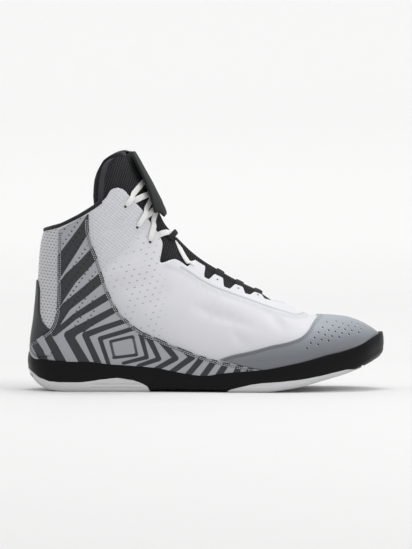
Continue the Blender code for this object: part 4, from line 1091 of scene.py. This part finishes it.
def stripe_field(points):
    """How far inside a dark stripe each point lies, in steps; below 0 it is outside them all."""
    field = np.full(points.shape[:-1], -9.0)
    for table, first, last in STRIPES:
        reach, share = line_distance(points, side_line(table))
        field = np.maximum(field, (first + (last - first) * share) / 2 - reach / STEP)
    return field


def quarter_border(side, rows):
    """Front and rear boundary of a striped quarter, collar to tail, as stations and taus.

    The rear one runs down its line to the sole, then along the sole, and rises to the tail's end
    with the sixth power of its share of the way.
    """
    front = refine(side_line(QUARTER_FRONT_LINE), rows)
    front_place = locate(front, side)
    upper_rows = int(rows * 0.42)
    rear = refine(side_line(QUARTER_REAR_LINE), upper_rows)
    rear_station, rear_tau = locate(rear, side)
    rear_tau[-1] = -1
    rest = np.linspace(0, 1, rows - upper_rows + 1)[1:]
    station = rear_station[-1] + (front_place[0][-1] - rear_station[-1]) * rest
    tau = -1 + (front_place[1][-1] + 0.92) * rest ** 6
    return front_place, (np.concatenate([rear_station, station]), np.concatenate([rear_tau, tau]))


def make_quarters():
    """The striped overlays, each between its front edge and its rear or lower edge."""
    for side, node in ((LATERAL, "quarter_panel_lateral"), (MEDIAL, "quarter_panel_medial")):
        front, rear = quarter_border(side, 230)
        station, tau = ruled(front, rear, 84, 0.014)
        flat = outer(station, tau, side)
        points = raised(station, tau, side, flat, OVERLAY + GAP, rows=(True, False))
        edge = edge_reach(flat, rows=(False, False))
        across, down = in_steps(flat)
        pits = (1 - ease(across, 94, 99)) * (1 - ease(down, 322, 330)) * ease(edge, 3.4 * MM, 4.4 * MM)
        marks = {"stripe": stripe_field(flat), "pits": pits}
        shape = grid_shape(points, flip=side < 0)
        add_piece(node + "_skin", shape, STRIPED, (node,), marks)


def band_between(stations, low, high, columns, border):
    """Grid between two taus for each station."""
    share = shares(columns, border)
    station = np.repeat(stations[:, None], len(share), axis=1)
    return station, low[:, None] + (high - low)[:, None] * share


def make_toe_cap():
    """The grey cap round the toe with its tail along the sole."""
    top = refine(side_line(TOE_CAP_LINE), 60)
    foot = side_line(TOE_CAP_TAIL)
    tip = side_line([TOE_CAP_LINE[0]])[0, 0]

    def cap(side):
        stations = np.concatenate([np.linspace(0, 0.25, 80), np.linspace(0.25, 0.33, 60)[1:],
                                   np.linspace(0.33, 0.56, 110)[1:]])
        high = height_tau(stations, side, top)
        ridge_x = follow(RIDGE, "along", stations) * LENGTH
        high = np.where(ridge_x > top[-1, 0] + 0.2 * MM, 1.0, high)
        low = height_tau(stations, side, foot)
        at = outer(stations, high, side)[:, 0]
        last = np.argmax(at < tip) if (at < tip).any() else len(stations)
        stations, high, low = stations[:last], high[:last], np.minimum(low, high)[:last]
        station, tau = band_between(stations, low, high, 60, 0.016)
        flat = outer(station, tau, side)
        reach = hem_reach(flat, (False, True), high < 0.999)
        lift = overlay_lift(reach, BORDER_ROUND, OVERLAY + GAP)
        return skin(station, tau, side, lift), {}

    shape, _ = on_both(cap)
    add_piece("toe_cap_skin", shape, TOE, ("toe_cap",), weld=SEAM)


def spots(name, places, radius, out, finish):
    """Flat discs of 10 corners, the floors or lips of small holes, one for each (station, tau, side)."""
    turn = np.linspace(0, 2 * math.pi, 10, endpoint=False)
    shapes = []
    for side in SIDES:
        mine = np.array([(s, t) for s, t, which in places if which == side])
        if not len(mine):
            continue
        over, up, normal = skin_frame(mine[:, 0], mine[:, 1], side)
        middle = skin(mine[:, 0], mine[:, 1], side, np.full(len(mine), out))
        for centre, a, b, n in zip(middle, over, up, normal):
            ring = centre + radius * (np.cos(turn)[:, None] * a + np.sin(turn)[:, None] * b)
            turned = np.dot(np.cross(a, b), n) > 0
            quads = [[0, i, i + 1, i + 2] for i in range(1, 8, 2)]
            quads = np.array(quads if turned else [q[::-1] for q in quads])
            shapes.append((ring, quads))
    return add_piece(name, join(shapes), finish)


def make_perforations():
    """Rows of small holes over the toe cap, the same on both sides, each with a pale crescent of painted
    light on its lower rear side, where the hole's inner wall faces the lamps.
    """
    bow = (0.6, 0.4)         # steps by which a row's middle is bowed back and up
    places, lit_walls = [], []
    for first, last, count in TOE_HOLES:
        middle = ((first[0] + last[0]) / 2 - bow[0], (first[1] + last[1]) / 2 - bow[1])
        row = refine(side_line([first, middle, last]), count)
        for side in SIDES:
            # a pale disc a little lower and further back under each dark floor leaves a crescent of painted
            # light
            for found, nudge in ((places, (0, 0)), (lit_walls, (-0.34 * MM, -0.30 * MM))):
                found += [(s, t, side) for s, t in zip(*locate(row + np.array(nudge), side))]
    radius, top = 0.78 * MM, OVERLAY + GAP
    spots("toe_holes", places, radius, top + 0.08 * MM, HOLE)
    spots("toe_hole_lit_walls", lit_walls, radius, top + 0.04 * MM, LIT_WALL)


def make_counter():
    """The dark wrap round the back of the heel, with its tip up the back seam."""
    rows = 46
    edge = refine(side_line(COUNTER_LINE), rows)
    parts = []
    for side in SIDES:
        front = locate(edge, side)
        heights = np.linspace(edge[0, 1], side_line([(30, COUNTER_FOOT)])[0, 1], rows)
        knots = values(BACK, "height") * SHAFT_HEIGHT
        back = (np.interp(heights, knots, values(BACK, "station")), np.full(rows, -1.0))
        station, tau = ruled(back, front, 22, 0.04)
        flat = outer(station, tau, side)
        points = raised(station, tau, side, flat, OVERLAY + GAP + 0.1 * MM, columns=(False, True))
        parts.append(grid_shape(points, flip=side < 0))
    add_piece("heel_counter_skin", join(parts), DARK, ("heel_counter",), weld=SEAM)


def make_eyestay():
    """The white band round the throat with its scalloped lace tabs."""
    foot = refine(side_line(EYESTAY_LINE), 50)

    def stay(side):
        stations = np.linspace(0.312, 0.672, 230)
        low = height_tau(stations, side, foot)
        high = throat_edge(stations, side)
        station, tau = band_between(stations, np.minimum(low, high - 0.01), high, 34, 0.04)
        flat = outer(station, tau, side)
        hemmed = stations > THROAT_OPENS
        lift = overlay_lift(hem_reach(flat, (True, True), hemmed), STAY_ROUND, OVERLAY)
        points = skin(station, tau, side, lift)
        rim = [skin(station[:, -1], tau[:, -1], side, np.where(hemmed, -depth, lift[:, -1]))
               for depth in STAY_TUCK]
        return np.concatenate([points] + [line[:, None] for line in rim], axis=1), {}

    shape, _ = on_both(stay)
    add_piece("eyestay_skin", shape, STAY, ("eyestay",), weld=SEAM)


def eyelet_places(first, last):
    """(station, tau, side) of the lace holes from first up to last, on both sides."""
    return [(station, float(tau_at(station, half * SHAFT_WIDTH, side)), side)
            for station, half in EYELETS[1:][first:last] for side in SIDES]


def make_eyelets():
    """Holes for the lace, with a soft rolled rim round the punched ones of the ankle."""
    seat = 0.1 * MM          # height of the rims over the skin
    thick, tall = 0.45 * MM, 0.35 * MM
    tab_hole = 0.7 * MM      # radius of the small holes of the lace tabs
    spots("eyelet_holes", eyelet_places(0, 3), tab_hole, OVERLAY + GAP + MARK_LIFT, HOLE)
    spots("ankle_holes", eyelet_places(4, 7), EYELET / 2 - 0.2 * MM, seat, HOLE)
    shapes = []
    turn = np.linspace(0, 2 * math.pi, 21)
    small = np.linspace(0, 2 * math.pi, 8, endpoint=False)
    for station, tau, side in eyelet_places(4, 7):
        over, up, normal = skin_frame(np.array([station]), np.array([tau]), side)
        middle = skin(np.array([station]), np.array([tau]), side, np.array([seat]))[0]
        away = np.cos(turn)[:, None] * over[0] + np.sin(turn)[:, None] * up[0]
        ring = (middle + away[:, None] * (EYELET / 2 + thick * np.cos(small))[None, :, None]
                + normal[0] * (tall * np.sin(small))[None, :, None])
        turned = np.dot(np.cross(over[0], up[0]), normal[0]) > 0
        shapes.append(grid_shape(ring, flip=bool(turned), around=True))
    add_piece("eyelet_rims", join(shapes), STAY, weld=SEAM / 2)


def stitch_row(path, side, tone):
    """Stitches along a side-view path; tone is 0 for light thread, 1 for dark, or a function of place."""
    length = np.linalg.norm(np.diff(path, axis=0), axis=1).sum()
    count = max(4, int(length / STITCH_PITCH))
    station, tau = locate(refine(path, count), side)
    middle = skin(station, tau, side, np.full(count, OVERLAY + GAP + 0.1 * MM))
    ahead = np.gradient(middle, axis=0)
    ahead /= np.linalg.norm(ahead, axis=1, keepdims=True)
    _, _, normal = skin_frame(station, tau, side)
    shape = stitch_shape(middle, ahead, normal, STITCH_PITCH * 0.72, STITCH_WIDTH, STITCH_HEIGHT)
    tones = np.repeat(tone(middle) if callable(tone) else np.full(count, tone), 24)
    return shape, tones


def make_stitches():
    """Double rows along the quarters' edges, the toe cap's edge and the seam under the counter."""
    def against_stripes(points):
        return (stripe_field(points) < 0).astype(float)
    rows = []
    for side in SIDES:
        front = refine(side_line(QUARTER_FRONT_LINE), 80)[2:-3]
        rear = refine(side_line(QUARTER_REAR_LINE[:-2]), 60)[2:]
        cap = refine(side_line(TOE_CAP_LINE), 70)[3:-1]
        seam = refine(side_line(COUNTER_SEAM_LINE), 12)
        for gap in STITCH_ROWS:
            rows.append(stitch_row(beside(front, -gap), side, against_stripes))
            rows.append(stitch_row(beside(rear, gap), side, against_stripes))
            rows.append(stitch_row(beside(cap, -gap), side, 1.0))
            rows.append(stitch_row(beside(seam, gap - 1.0 * MM), side, 0.0))
    shape = join([shape for shape, _ in rows])
    tones = {"tone": np.concatenate([tone for _, tone in rows])}
    add_piece("stitches", shape, THREAD, attributes=tones)


def make_binding():
    """The rolled dark edge round the back of the collar, from one side to the other."""
    reach = 0.80             # share of the way from the back to the throat that it covers
    sink = 0.9 * MM          # how far the roll sits down over the collar's edge
    paths = []
    for side in SIDES:
        share = np.linspace(reach, 0, 70)
        station = collar_station(share, side)
        tau = -1 + (throat_edge(station, side) + 1) * share
        path = outer(station, tau, side)
        inner = shifted(station, tau, side, np.full(len(share), -WALL / 2))
        paths.append((inner + np.array([0, 0, BINDING / 2 - sink]), inner - path))
    path = np.concatenate([paths[0][0], paths[1][0][-2::-1]])
    normals = np.concatenate([-paths[0][1], -paths[1][1][-2::-1]])
    roll = flat_cord(path, normals, BINDING + 0.2 * MM, BINDING + 0.2 * MM, 12)
    add_piece("binding_roll", roll, BINDING_CLOTH, ("collar_binding",), weld=SEAM / 2)


FAR_CROWN = 4 * MM           # how much higher the inner wing of the tongue arches
RIM_ROLL, RIM_AT, RIM_SPREAD = 1.6 * MM, 2.0 * MM, 1.7 * MM    # the wings' rolled rim: height, place, width
PUFF, PUFF_AT, PUFF_SPREAD = 0.8 * MM, 11 * MM, 5 * MM         # the soft swelling inside it


def bell(reach, at, spread):
    """1 at a distance, falling off like a bell on both sides of it."""
    return np.exp(-((reach - at) / spread) ** 2)


def make_tongue():
    """The padded tongue: under the throat a slim pad, above the collar two wings with a rolled rim.

    Both faces lie half the tongue's thickness from its middle surface and meet in a round border.
    The outer one swells by two bells of the distance from its rim, and by a soft crest at the ridge.
    """
    def face(side, sign):
        wing = side_line(WING[side])
        stations = np.concatenate([np.linspace(0.33, 1.7, 90), np.linspace(1.7, 2.56, 110)[1:]])
        hidden = follow(TONGUE_REACH, "tau", stations)

        def outside(tau):
            made = outer(stations, tau, side)
            rear = np.interp(made[..., 2], wing[:9, 1], wing[:9, 0])
            above = np.interp(made[..., 0], wing[4:, 0], wing[4:, 1])
            return (made[..., 0] < rear) | (made[..., 2] > above)
        edge = halve(np.full(stations.shape, -1.0), np.ones(stations.shape), outside)
        mixed = ease(stations, 1.80, 1.93)
        edge = hidden * (1 - mixed) + edge * mixed
        last = np.argmax(edge > 0.985) + 1 if (edge > 0.985).any() else len(stations)
        stations, edge = stations[:last], edge[:last]
        station, tau = band_between(stations, edge, np.ones(len(stations)), 40, 0.05)
        flat = outer(station, tau, side)
        reach = edge_reach(flat, rows=(True, True), columns=(True, False))
        free = ease(station, 1.86, 1.98)
        half = brim(reach, 1.8 * MM) * TONGUE / 2
        roll = RIM_ROLL * bell(reach, RIM_AT, RIM_SPREAD) * free
        puff = PUFF * bell(reach, PUFF_AT, PUFF_SPREAD) * free
        middle = -(WALL + TONGUE_GAP) - TONGUE / 2
        crest = 2.6 * MM * ease(tau, 0.80, 0.97) * ease(station, 0.40, 0.46)
        crest *= 1 - ease(station, 0.70, 0.90)
        crest += 2.4 * MM * ease(tau, 0.84, 0.97) * ease(station, 1.72, 1.95)
        out = middle + sign * half + (roll + puff + crest if sign > 0 else -roll * 0.6)
        centre = ease(reach, 4.6 * MM, 5.6 * MM)
        points = shifted(station, tau, side, out)
        over = (tau - tau[:, :1]) / np.maximum(1 - tau[:, :1], 0.01)
        points[..., 2] += FAR_CROWN * (side > 0) * ease(station, 2.1, 2.56) * 4 * over * (1 - over)
        return points, {"centre": centre}

    outer_face, marks = on_both(lambda side: face(side, 1))
    inner_face, inner_marks = on_both(lambda side: face(side, -1))
    inner_face = (inner_face[0], [quad[::-1] for quad in inner_face[1]])
    both = {key: np.concatenate([marks[key], inner_marks[key]]) for key in marks}
    shape = join([(points, np.array(faces)) for points, faces in (outer_face, inner_face)])
    made = add_piece("tongue_pad", shape, TONGUE_CLOTH, ("tongue",), both, weld=SEAM)


FLAP_WRAP = 0.60             # how much of the shin's roundness the flap follows
FLAP_SPAN = (0.93, 2.54)     # stations of the flap's lower and upper end


def make_flap():
    """The slab that hangs from the tongue's top over the lacing.

    Its sections are the upper's, but fall away from the ridge only a share FLAP_WRAP as far.
    """
    clear = 0.5 * MM         # over the upper's outer face, to leave room for the lace
    low, high = FLAP_SPAN
    stations = shares(60, 0.02) * (high - low) + low
    grown = ease(stations, 0.91, 1.15)
    half = FLAP_WIDTH / 2 * (0.45 + 0.55 * grown ** 0.6) * (1 - 0.30 * ease(stations, 2.38, high) ** 2)
    share = shares(30, 0.05) * 2 - 1
    rows = []
    for sign in (1, -1):
        grid = np.zeros((len(stations), len(share), 3))
        for side in SIDES:
            mine = np.flatnonzero(share * side >= 0)
            distance = np.abs(share[mine]) * half[:, None]
            tau = tau_at(stations[:, None], distance, side)
            station = np.broadcast_to(stations[:, None], tau.shape)
            ends = np.minimum(stations - stations[0], stations[-1] - stations)
            reach = np.minimum(half[:, None] - distance, ends[:, None] * 24 * MM)
            lift = clear + FLAP / 2 + sign * FLAP / 2 * brim(reach, FLAP / 2)
            made = shifted(station, tau, side, lift)
            crest = shifted(station, np.ones(tau.shape), side, lift)
            grid[:, mine] = crest + (made - crest) * np.array([FLAP_WRAP, 1, FLAP_WRAP])
        rows.append(grid_shape(grid, flip=sign < 0))
    add_piece("flap", join(rows), COVER_CLOTH, ("tongue_cover",), weld=SEAM)


def over_throat(station, offset, out):
    """Points and normals over the shoe at signed distances beside the ridge."""
    points, normals = np.zeros((len(station), 3)), np.zeros((len(station), 3))
    for side in SIDES:
        mine = offset * side >= 0
        tau = tau_at(station[mine], np.abs(offset[mine]), side)
        points[mine] = shifted(station[mine], tau, side, out[mine])
        normals[mine] = shifted(station[mine], tau, side, out[mine] + MM) - points[mine]
    return points, normals


def lace_path(start, end, side, rise=0.0):
    """Middle line of one crossing: out of a hole on one side, over the tongue, down to the next hole.

    With a rise it arches up over the tongue and goes down into a hole at both ends.
    """
    over_skin, under_skin, dive = 1.5 * MM, -(WALL + 1.2 * MM), 1.9 * MM
    share = np.linspace(0, 1, 41)
    station = start[0] + (end[0] - start[0]) * share ** 0.8 + rise * np.sin(math.pi * share)
    offset = side * (start[1] - (start[1] + end[1]) * share ** 1.25) * SHAFT_WIDTH
    hem = throat_half(station)
    over = ease(np.abs(offset), hem - 3.0 * MM, hem + 0.5 * MM)
    level = np.where(share < 0.5, over_skin, over_skin if rise else under_skin)
    rest = -(WALL + TONGUE_GAP) + LACE / 2 + (1.1 * MM if side > 0 else 0.2 * MM)
    out = rest + (level - rest) * over
    for gone in (share, 1 - share) if rise else (share,):
        out = np.where(gone < 0.06, out - dive * (1 - gone / 0.06) ** 2, out)
    return over_throat(station, offset, out)


def make_laces():
    """Flat crossings between the holes of both sides; the ends are hidden under the flap."""
    holes = EYELETS[1:]
    lowest = 3               # crossings below this pair of holes lie under the webbing
    wide, thick = LACE_WIDTH + 0.4 * MM, LACE + 0.3 * MM     # larger, to make up for the round edges
    runs = [(holes[i], holes[i + 1], side, 0.0) for i in range(lowest, len(holes) - 1) for side in SIDES]
    runs.append((holes[-1], holes[-1], LATERAL, 0.22))
    shapes, length = [], 0.0
    for start, end, side, rise in runs:
        path, normals = lace_path(start, end, side, rise)
        length += float(np.linalg.norm(np.diff(path, axis=0), axis=1).sum())
        shapes.append(flat_cord(path, normals, wide, thick))
    add_piece("lace_runs", join(shapes), LACE_CLOTH, ("lace",), weld=SEAM / 2)
    print("lace in sight, metres:", round(length, 3))


def make_tab_loops():
    """Dark webbing over the lower tongue: a loop across each pair of tabs, under which the lace runs."""
    share = np.linspace(-1, 1, 25)

    def band(station, reach, foot, crown, wide, thick):
        """A strap across the ridge, arched by crown over the height of its two feet."""
        height = foot + crown * (1 - share ** 2)
        return flat_cord(*over_throat(np.full(25, station), reach * share, height), wide, thick)

    shapes = []
    for front, rear, _ in TABS[1:-1]:
        middle = (front + rear) / 2
        reach = float(throat_half(np.array([middle]))[0]) + 1.0 * MM
        shapes.append(band(middle, reach, -1.6 * MM, 1.9 * MM, 7.0 * MM, 1.0 * MM))
    add_piece("tab_loops", join(shapes), COVER_CLOTH, weld=SEAM / 2)
    keeper = band(0.785, 11 * MM, -1.5 * MM, 3.2 * MM, 4.6 * MM, 1.2 * MM)
    add_piece("keeper_loop", keeper, COVER_CLOTH, weld=SEAM / 2)


def wall_inset(share):
    """How far the sole's wall lies inside its widest outline, at a share of its height."""
    return smooth(values(SOLE_LEVELS, "share"), values(SOLE_LEVELS, "inset"), share)


def pad_height(x, top, height):
    """Height of a pad's upper edge over its underside at x; 0 off its ends."""
    xs, hs = values(top, "along") * LENGTH, values(top, "height") * height
    over = np.maximum(np.interp(x, xs, hs) - sole_floor(x), 0)
    over = over * (1 - ease(x, 0.385 * LENGTH, 0.44 * LENGTH))
    return np.where((x < xs[0]) | (x > xs[-1]), 0, over)


def tallest_pad(x):
    """Height of whichever white pad lies under x."""
    return np.maximum(pad_height(x, HEEL_POD_TOP, HEEL_POD), pad_height(x, FORE_POD_TOP, FORE_POD))


def sole_lift(x):
    """How far the black underside stays up between and over the pads."""
    waist = np.interp(x, values(WAIST, "along") * LENGTH, values(WAIST, "share") * ARCH_LIFT, 0, 0)
    return np.maximum(waist, 1.2 * MM * (tallest_pad(x) > 0))


# The rounded rim of the black cup: how far in and how far down from the rim's height
RIM_PROFILE = ((0.95, -0.28), (1.3, -0.38), (1.7, -0.28), (2.0, 0.1), (2.2, 0.8))
UNDER_INSET = 3.6 * MM       # from the widest outline to the flat underside of the cup
CUP_FLOOR = 1.2 * MM         # from the upper's lower edge down to the floor of the cup


def make_sole():
    """The black cup: underside, rounded wall, rim, inner wall and inner floor, in one closed surface."""
    turns = np.linspace(0, math.pi, 240)
    flat_shares = np.linspace(0, 1, 9)
    walls = np.concatenate([np.linspace(0.02, 0.9, 20), [0.94, 0.97, 1.0]])

    def half(side):
        columns = []
        middle_x = LENGTH / 2 * np.cos(turns) * 0.985

        def under(share, inset, z_of):
            x, y = plan_point(turns, side, inset)
            lean = np.interp(np.cos(turns), [0.6, 1], [0, TOE_LEAN * BALL_WIDTH])
            x, y = middle_x + (x - middle_x) * share, lean + (y - lean) * share
            return np.stack([x, y, z_of(x)], axis=-1)
        for share in flat_shares[:-1]:
            columns.append(under(share, UNDER_INSET, lambda x: sole_floor(x) + sole_lift(x)))
        for share in walls:
            inset = float(wall_inset(share))
            x, y = plan_point(turns, side, inset)
            floor, rim = sole_floor(x), sole_rim(x)
            z = floor + (rim - floor) * share
            pad = tallest_pad(x)
            tucked = ease(floor + pad - z, -0.3 * MM, 0.5 * MM) * (pad > 0)
            x, y = plan_point(turns, side, inset + 0.7 * MM * tucked)
            columns.append(np.stack([x, y, np.maximum(z, floor + sole_lift(x) * (1 - share))], axis=-1))
        for inset, drop in RIM_PROFILE:
            x, y = plan_point(turns, side, inset * MM)
            columns.append(np.stack([x, y, sole_rim(x) - drop * MM], axis=-1))
        for share in (0.5, 1.0):
            x, y = plan_point(turns, side, RIM_WALL)
            z = sole_rim(x) + (feather_height(x) - CUP_FLOOR - sole_rim(x)) * share
            columns.append(np.stack([x, y, z], axis=-1))
        for share in (0.7, 0.35, 0.0):
            columns.append(under(share, RIM_WALL, lambda x: feather_height(x) - CUP_FLOOR))
        return np.stack(columns, axis=1)

    parts = [grid_shape(half(side), flip=side > 0) for side in SIDES]
    add_piece("sole_cup", join(parts), BLACK, ("sole_unit",), weld=SEAM)


RIB_SPAN = (-94 * MM, -88 * MM, -54 * MM, -46 * MM)  # where the side's ribs fade in and out


def make_pod(name, node, top, height, grooves, ribs):
    """A white pad: its ground face with grooves, and its side up to the black edge.

    Grooves are shares of LENGTH along the sole, ribs are shares of the pad's height.
    """
    ends = values(top, "along") * LENGTH
    lowest, highest = max(ends[0], -LENGTH / 2 * 0.9999), min(ends[-1], LENGTH / 2 * 0.999)
    around = math.acos(highest / (LENGTH / 2)), math.acos(max(lowest / (LENGTH / 2), -1))
    turns = np.linspace(*around, 200)

    def half(side):
        columns = []
        x0 = LENGTH / 2 * np.cos(turns)

        def groove(x):
            total = np.zeros(x.shape)
            for at in grooves:
                reach = np.abs(x - at * LENGTH)
                total += TREAD_GROOVE * (1 - ease(reach, TREAD_WIDTH * 0.35, TREAD_WIDTH * 0.6))
            return total
        for share in np.linspace(0, 1, 11):
            x, y = plan_point(turns, side, 3.2 * MM)
            lean = np.interp(x0 / LENGTH * 2, [0.6, 1], [0, TOE_LEAN * BALL_WIDTH])
            x, y = x0 + (x - x0) * share, lean + (y - lean) * share
            columns.append(np.stack([x, y, sole_floor(x) + groove(x) * (share < 0.95)], axis=-1))
        for level in np.concatenate([np.linspace(0.08, 0.9, 22), [0.95, 1.0, 1.0]]):
            x, y = plan_point(turns, side, 0.5 * MM)
            floor, rim = sole_floor(x), sole_rim(x)
            z = floor + pad_height(x, top, height) * level
            share = np.clip((z - floor) / (rim - floor), 0, 1)
            inset = wall_inset(share) - 0.12 * MM
            for at in ribs:
                span = ease(x, *RIB_SPAN[:2]) * (1 - ease(x, *RIB_SPAN[2:]))
                inset = inset + 0.75 * MM * np.exp(-((z - at * height) / (0.45 * MM)) ** 2) * span
            inset = inset + 0.5 * MM * (1 - brim((1 - level) * pad_height(x, top, height), 0.5 * MM))
            x, y = plan_point(turns, side, inset)
            columns.append(np.stack([x, y, z], axis=-1))
        x, y = plan_point(turns, side, 1.8 * MM)
        columns.append(np.stack([x, y, sole_floor(x) + pad_height(x, top, height) * 0.9], axis=-1))
        return np.stack(columns, axis=1)

    parts = [grid_shape(half(side), flip=side > 0) for side in SIDES]
    add_piece(name, join(parts), PALE, (node,), weld=SEAM)


def make_insole():
    """The sock liner: a thin pad on the floor of the cup."""
    turns = np.linspace(0.05, 0.985, 90)
    share = shares(24, 0.05)
    parts = []
    for sign in (1, -1):
        inset = RIM_WALL + WALL + INSOLE_GAP + HEEL_TUCK * ease(turns, 0.5, 0.94)
        a, b = [np.stack(plan_point(turns * math.pi, side, inset), axis=-1) for side in SIDES]
        flat = a[:, None] + (b - a)[:, None] * share[:, None]
        z = feather_height(flat[..., 0])
        points = np.concatenate([flat, z[..., None]], axis=-1)
        half = brim(edge_reach(points), 1.5 * MM) * INSOLE / 2
        points[..., 2] += INSOLE / 2 + sign * half
        parts.append(grid_shape(points, flip=sign < 0))
    add_piece("sock_liner", join(parts), LINING, ("insole",), weld=SEAM)


SKY = 0.68                   # strength of the white sky
GLOW = 0.31                  # how strongly the far end of the floor shines by itself
LAMPS = (("key", (1.5, -1.3, 2.2), 1.6, 20.0), ("top", (0.2, 0.2, 2.6), 1.4, 30.0))


def make_stage():
    """A pale floor that curves up into a backdrop, a soft key light and a bright sky."""
    run = np.array([-5.0, -2, 0, 2.4, 3.2, 3.8, 4.15, 4.3, 4.3])
    rise = np.array([0, 0, 0, 0, 0.06, 0.25, 0.6, 1.2, 4.0])
    wide = np.linspace(-5, 5, 9)
    points = np.stack(np.broadcast_arrays(wide[None, :], run[:, None], rise[:, None]), axis=-1)
    mesh = bpy.data.meshes.new("studio_floor")
    mesh.from_pydata(points.reshape(-1, 3), [], grid_faces(len(run), len(wide)))
    mesh.polygons.foreach_set("use_smooth", np.ones(len(mesh.polygons), bool))
    pale = Finish("floor", (0.74, 0.74, 0.737), 0.8)
    glow = pale.times(pale.step(pale.parts.outputs["Y"], 0.5, 3.2), GLOW)
    pale.shader.inputs["Emission Color"].default_value = (1, 1, 1, 1)
    pale.links.new(glow, pale.shader.inputs["Emission Strength"])
    mesh.materials.append(pale.material)
    floor = bpy.data.objects.new("studio_floor", mesh)
    bpy.context.scene.collection.objects.link(floor)
    world = bpy.data.worlds.new("studio")
    world.use_nodes = True
    world.node_tree.nodes["Background"].inputs["Color"].default_value = (1.0, 1.0, 1.0, 1)
    world.node_tree.nodes["Background"].inputs["Strength"].default_value = SKY
    bpy.context.scene.world = world
    for name, spot, size, power in LAMPS:
        lamp = bpy.data.lights.new(name, "AREA")
        lamp.shape = "DISK"
        lamp.size = size
        lamp.energy = power
        holder = bpy.data.objects.new(name, lamp)
        holder.location = spot
        aim = np.array([0, 0, 0.08]) - np.array(spot)
        holder.rotation_euler = look_at(aim)
        bpy.context.scene.collection.objects.link(holder)


def look_at(aim):
    """Euler turn that points a lamp's or a camera's -Z along aim, with +Y up."""
    flat = math.hypot(aim[0], aim[1])
    return (math.atan2(flat, -aim[2]), 0, math.atan2(-aim[0], aim[1]))


def make_camera():
    """The photo's view: square to the outer side, nearly level."""
    camera = bpy.data.cameras.new("camera")
    distance, lift = 3.0, math.radians(1.7)
    in_view = 549 * STEP         # height of the picture at the shoe
    camera.sensor_width = 36
    camera.lens = 36 * distance / in_view
    holder = bpy.data.objects.new("camera", camera)
    middle = np.array([0.0, 0.0, 92 * MM])
    spot = middle + distance * np.array([0, -math.cos(lift), math.sin(lift)])
    holder.location = spot
    holder.rotation_euler = look_at(middle - spot)
    bpy.context.scene.collection.objects.link(holder)
    bpy.context.scene.camera = holder


make_upper()
make_quarters()
make_toe_cap()
make_perforations()
make_counter()
make_eyestay()
make_eyelets()
make_stitches()
make_binding()
make_tongue()
make_flap()
make_laces()
make_tab_loops()
make_sole()
make_pod("heel_pad", "heel_pod", HEEL_POD_TOP, HEEL_POD, (-0.39, -0.33, -0.27), (0.42, 0.78))
make_pod("forefoot_pad", "forefoot_pod", FORE_POD_TOP, FORE_POD, (0.12, 0.19, 0.26), ())
make_insole()
make_stage()
make_camera()
bpy.context.scene.view_settings.view_transform = "Standard"
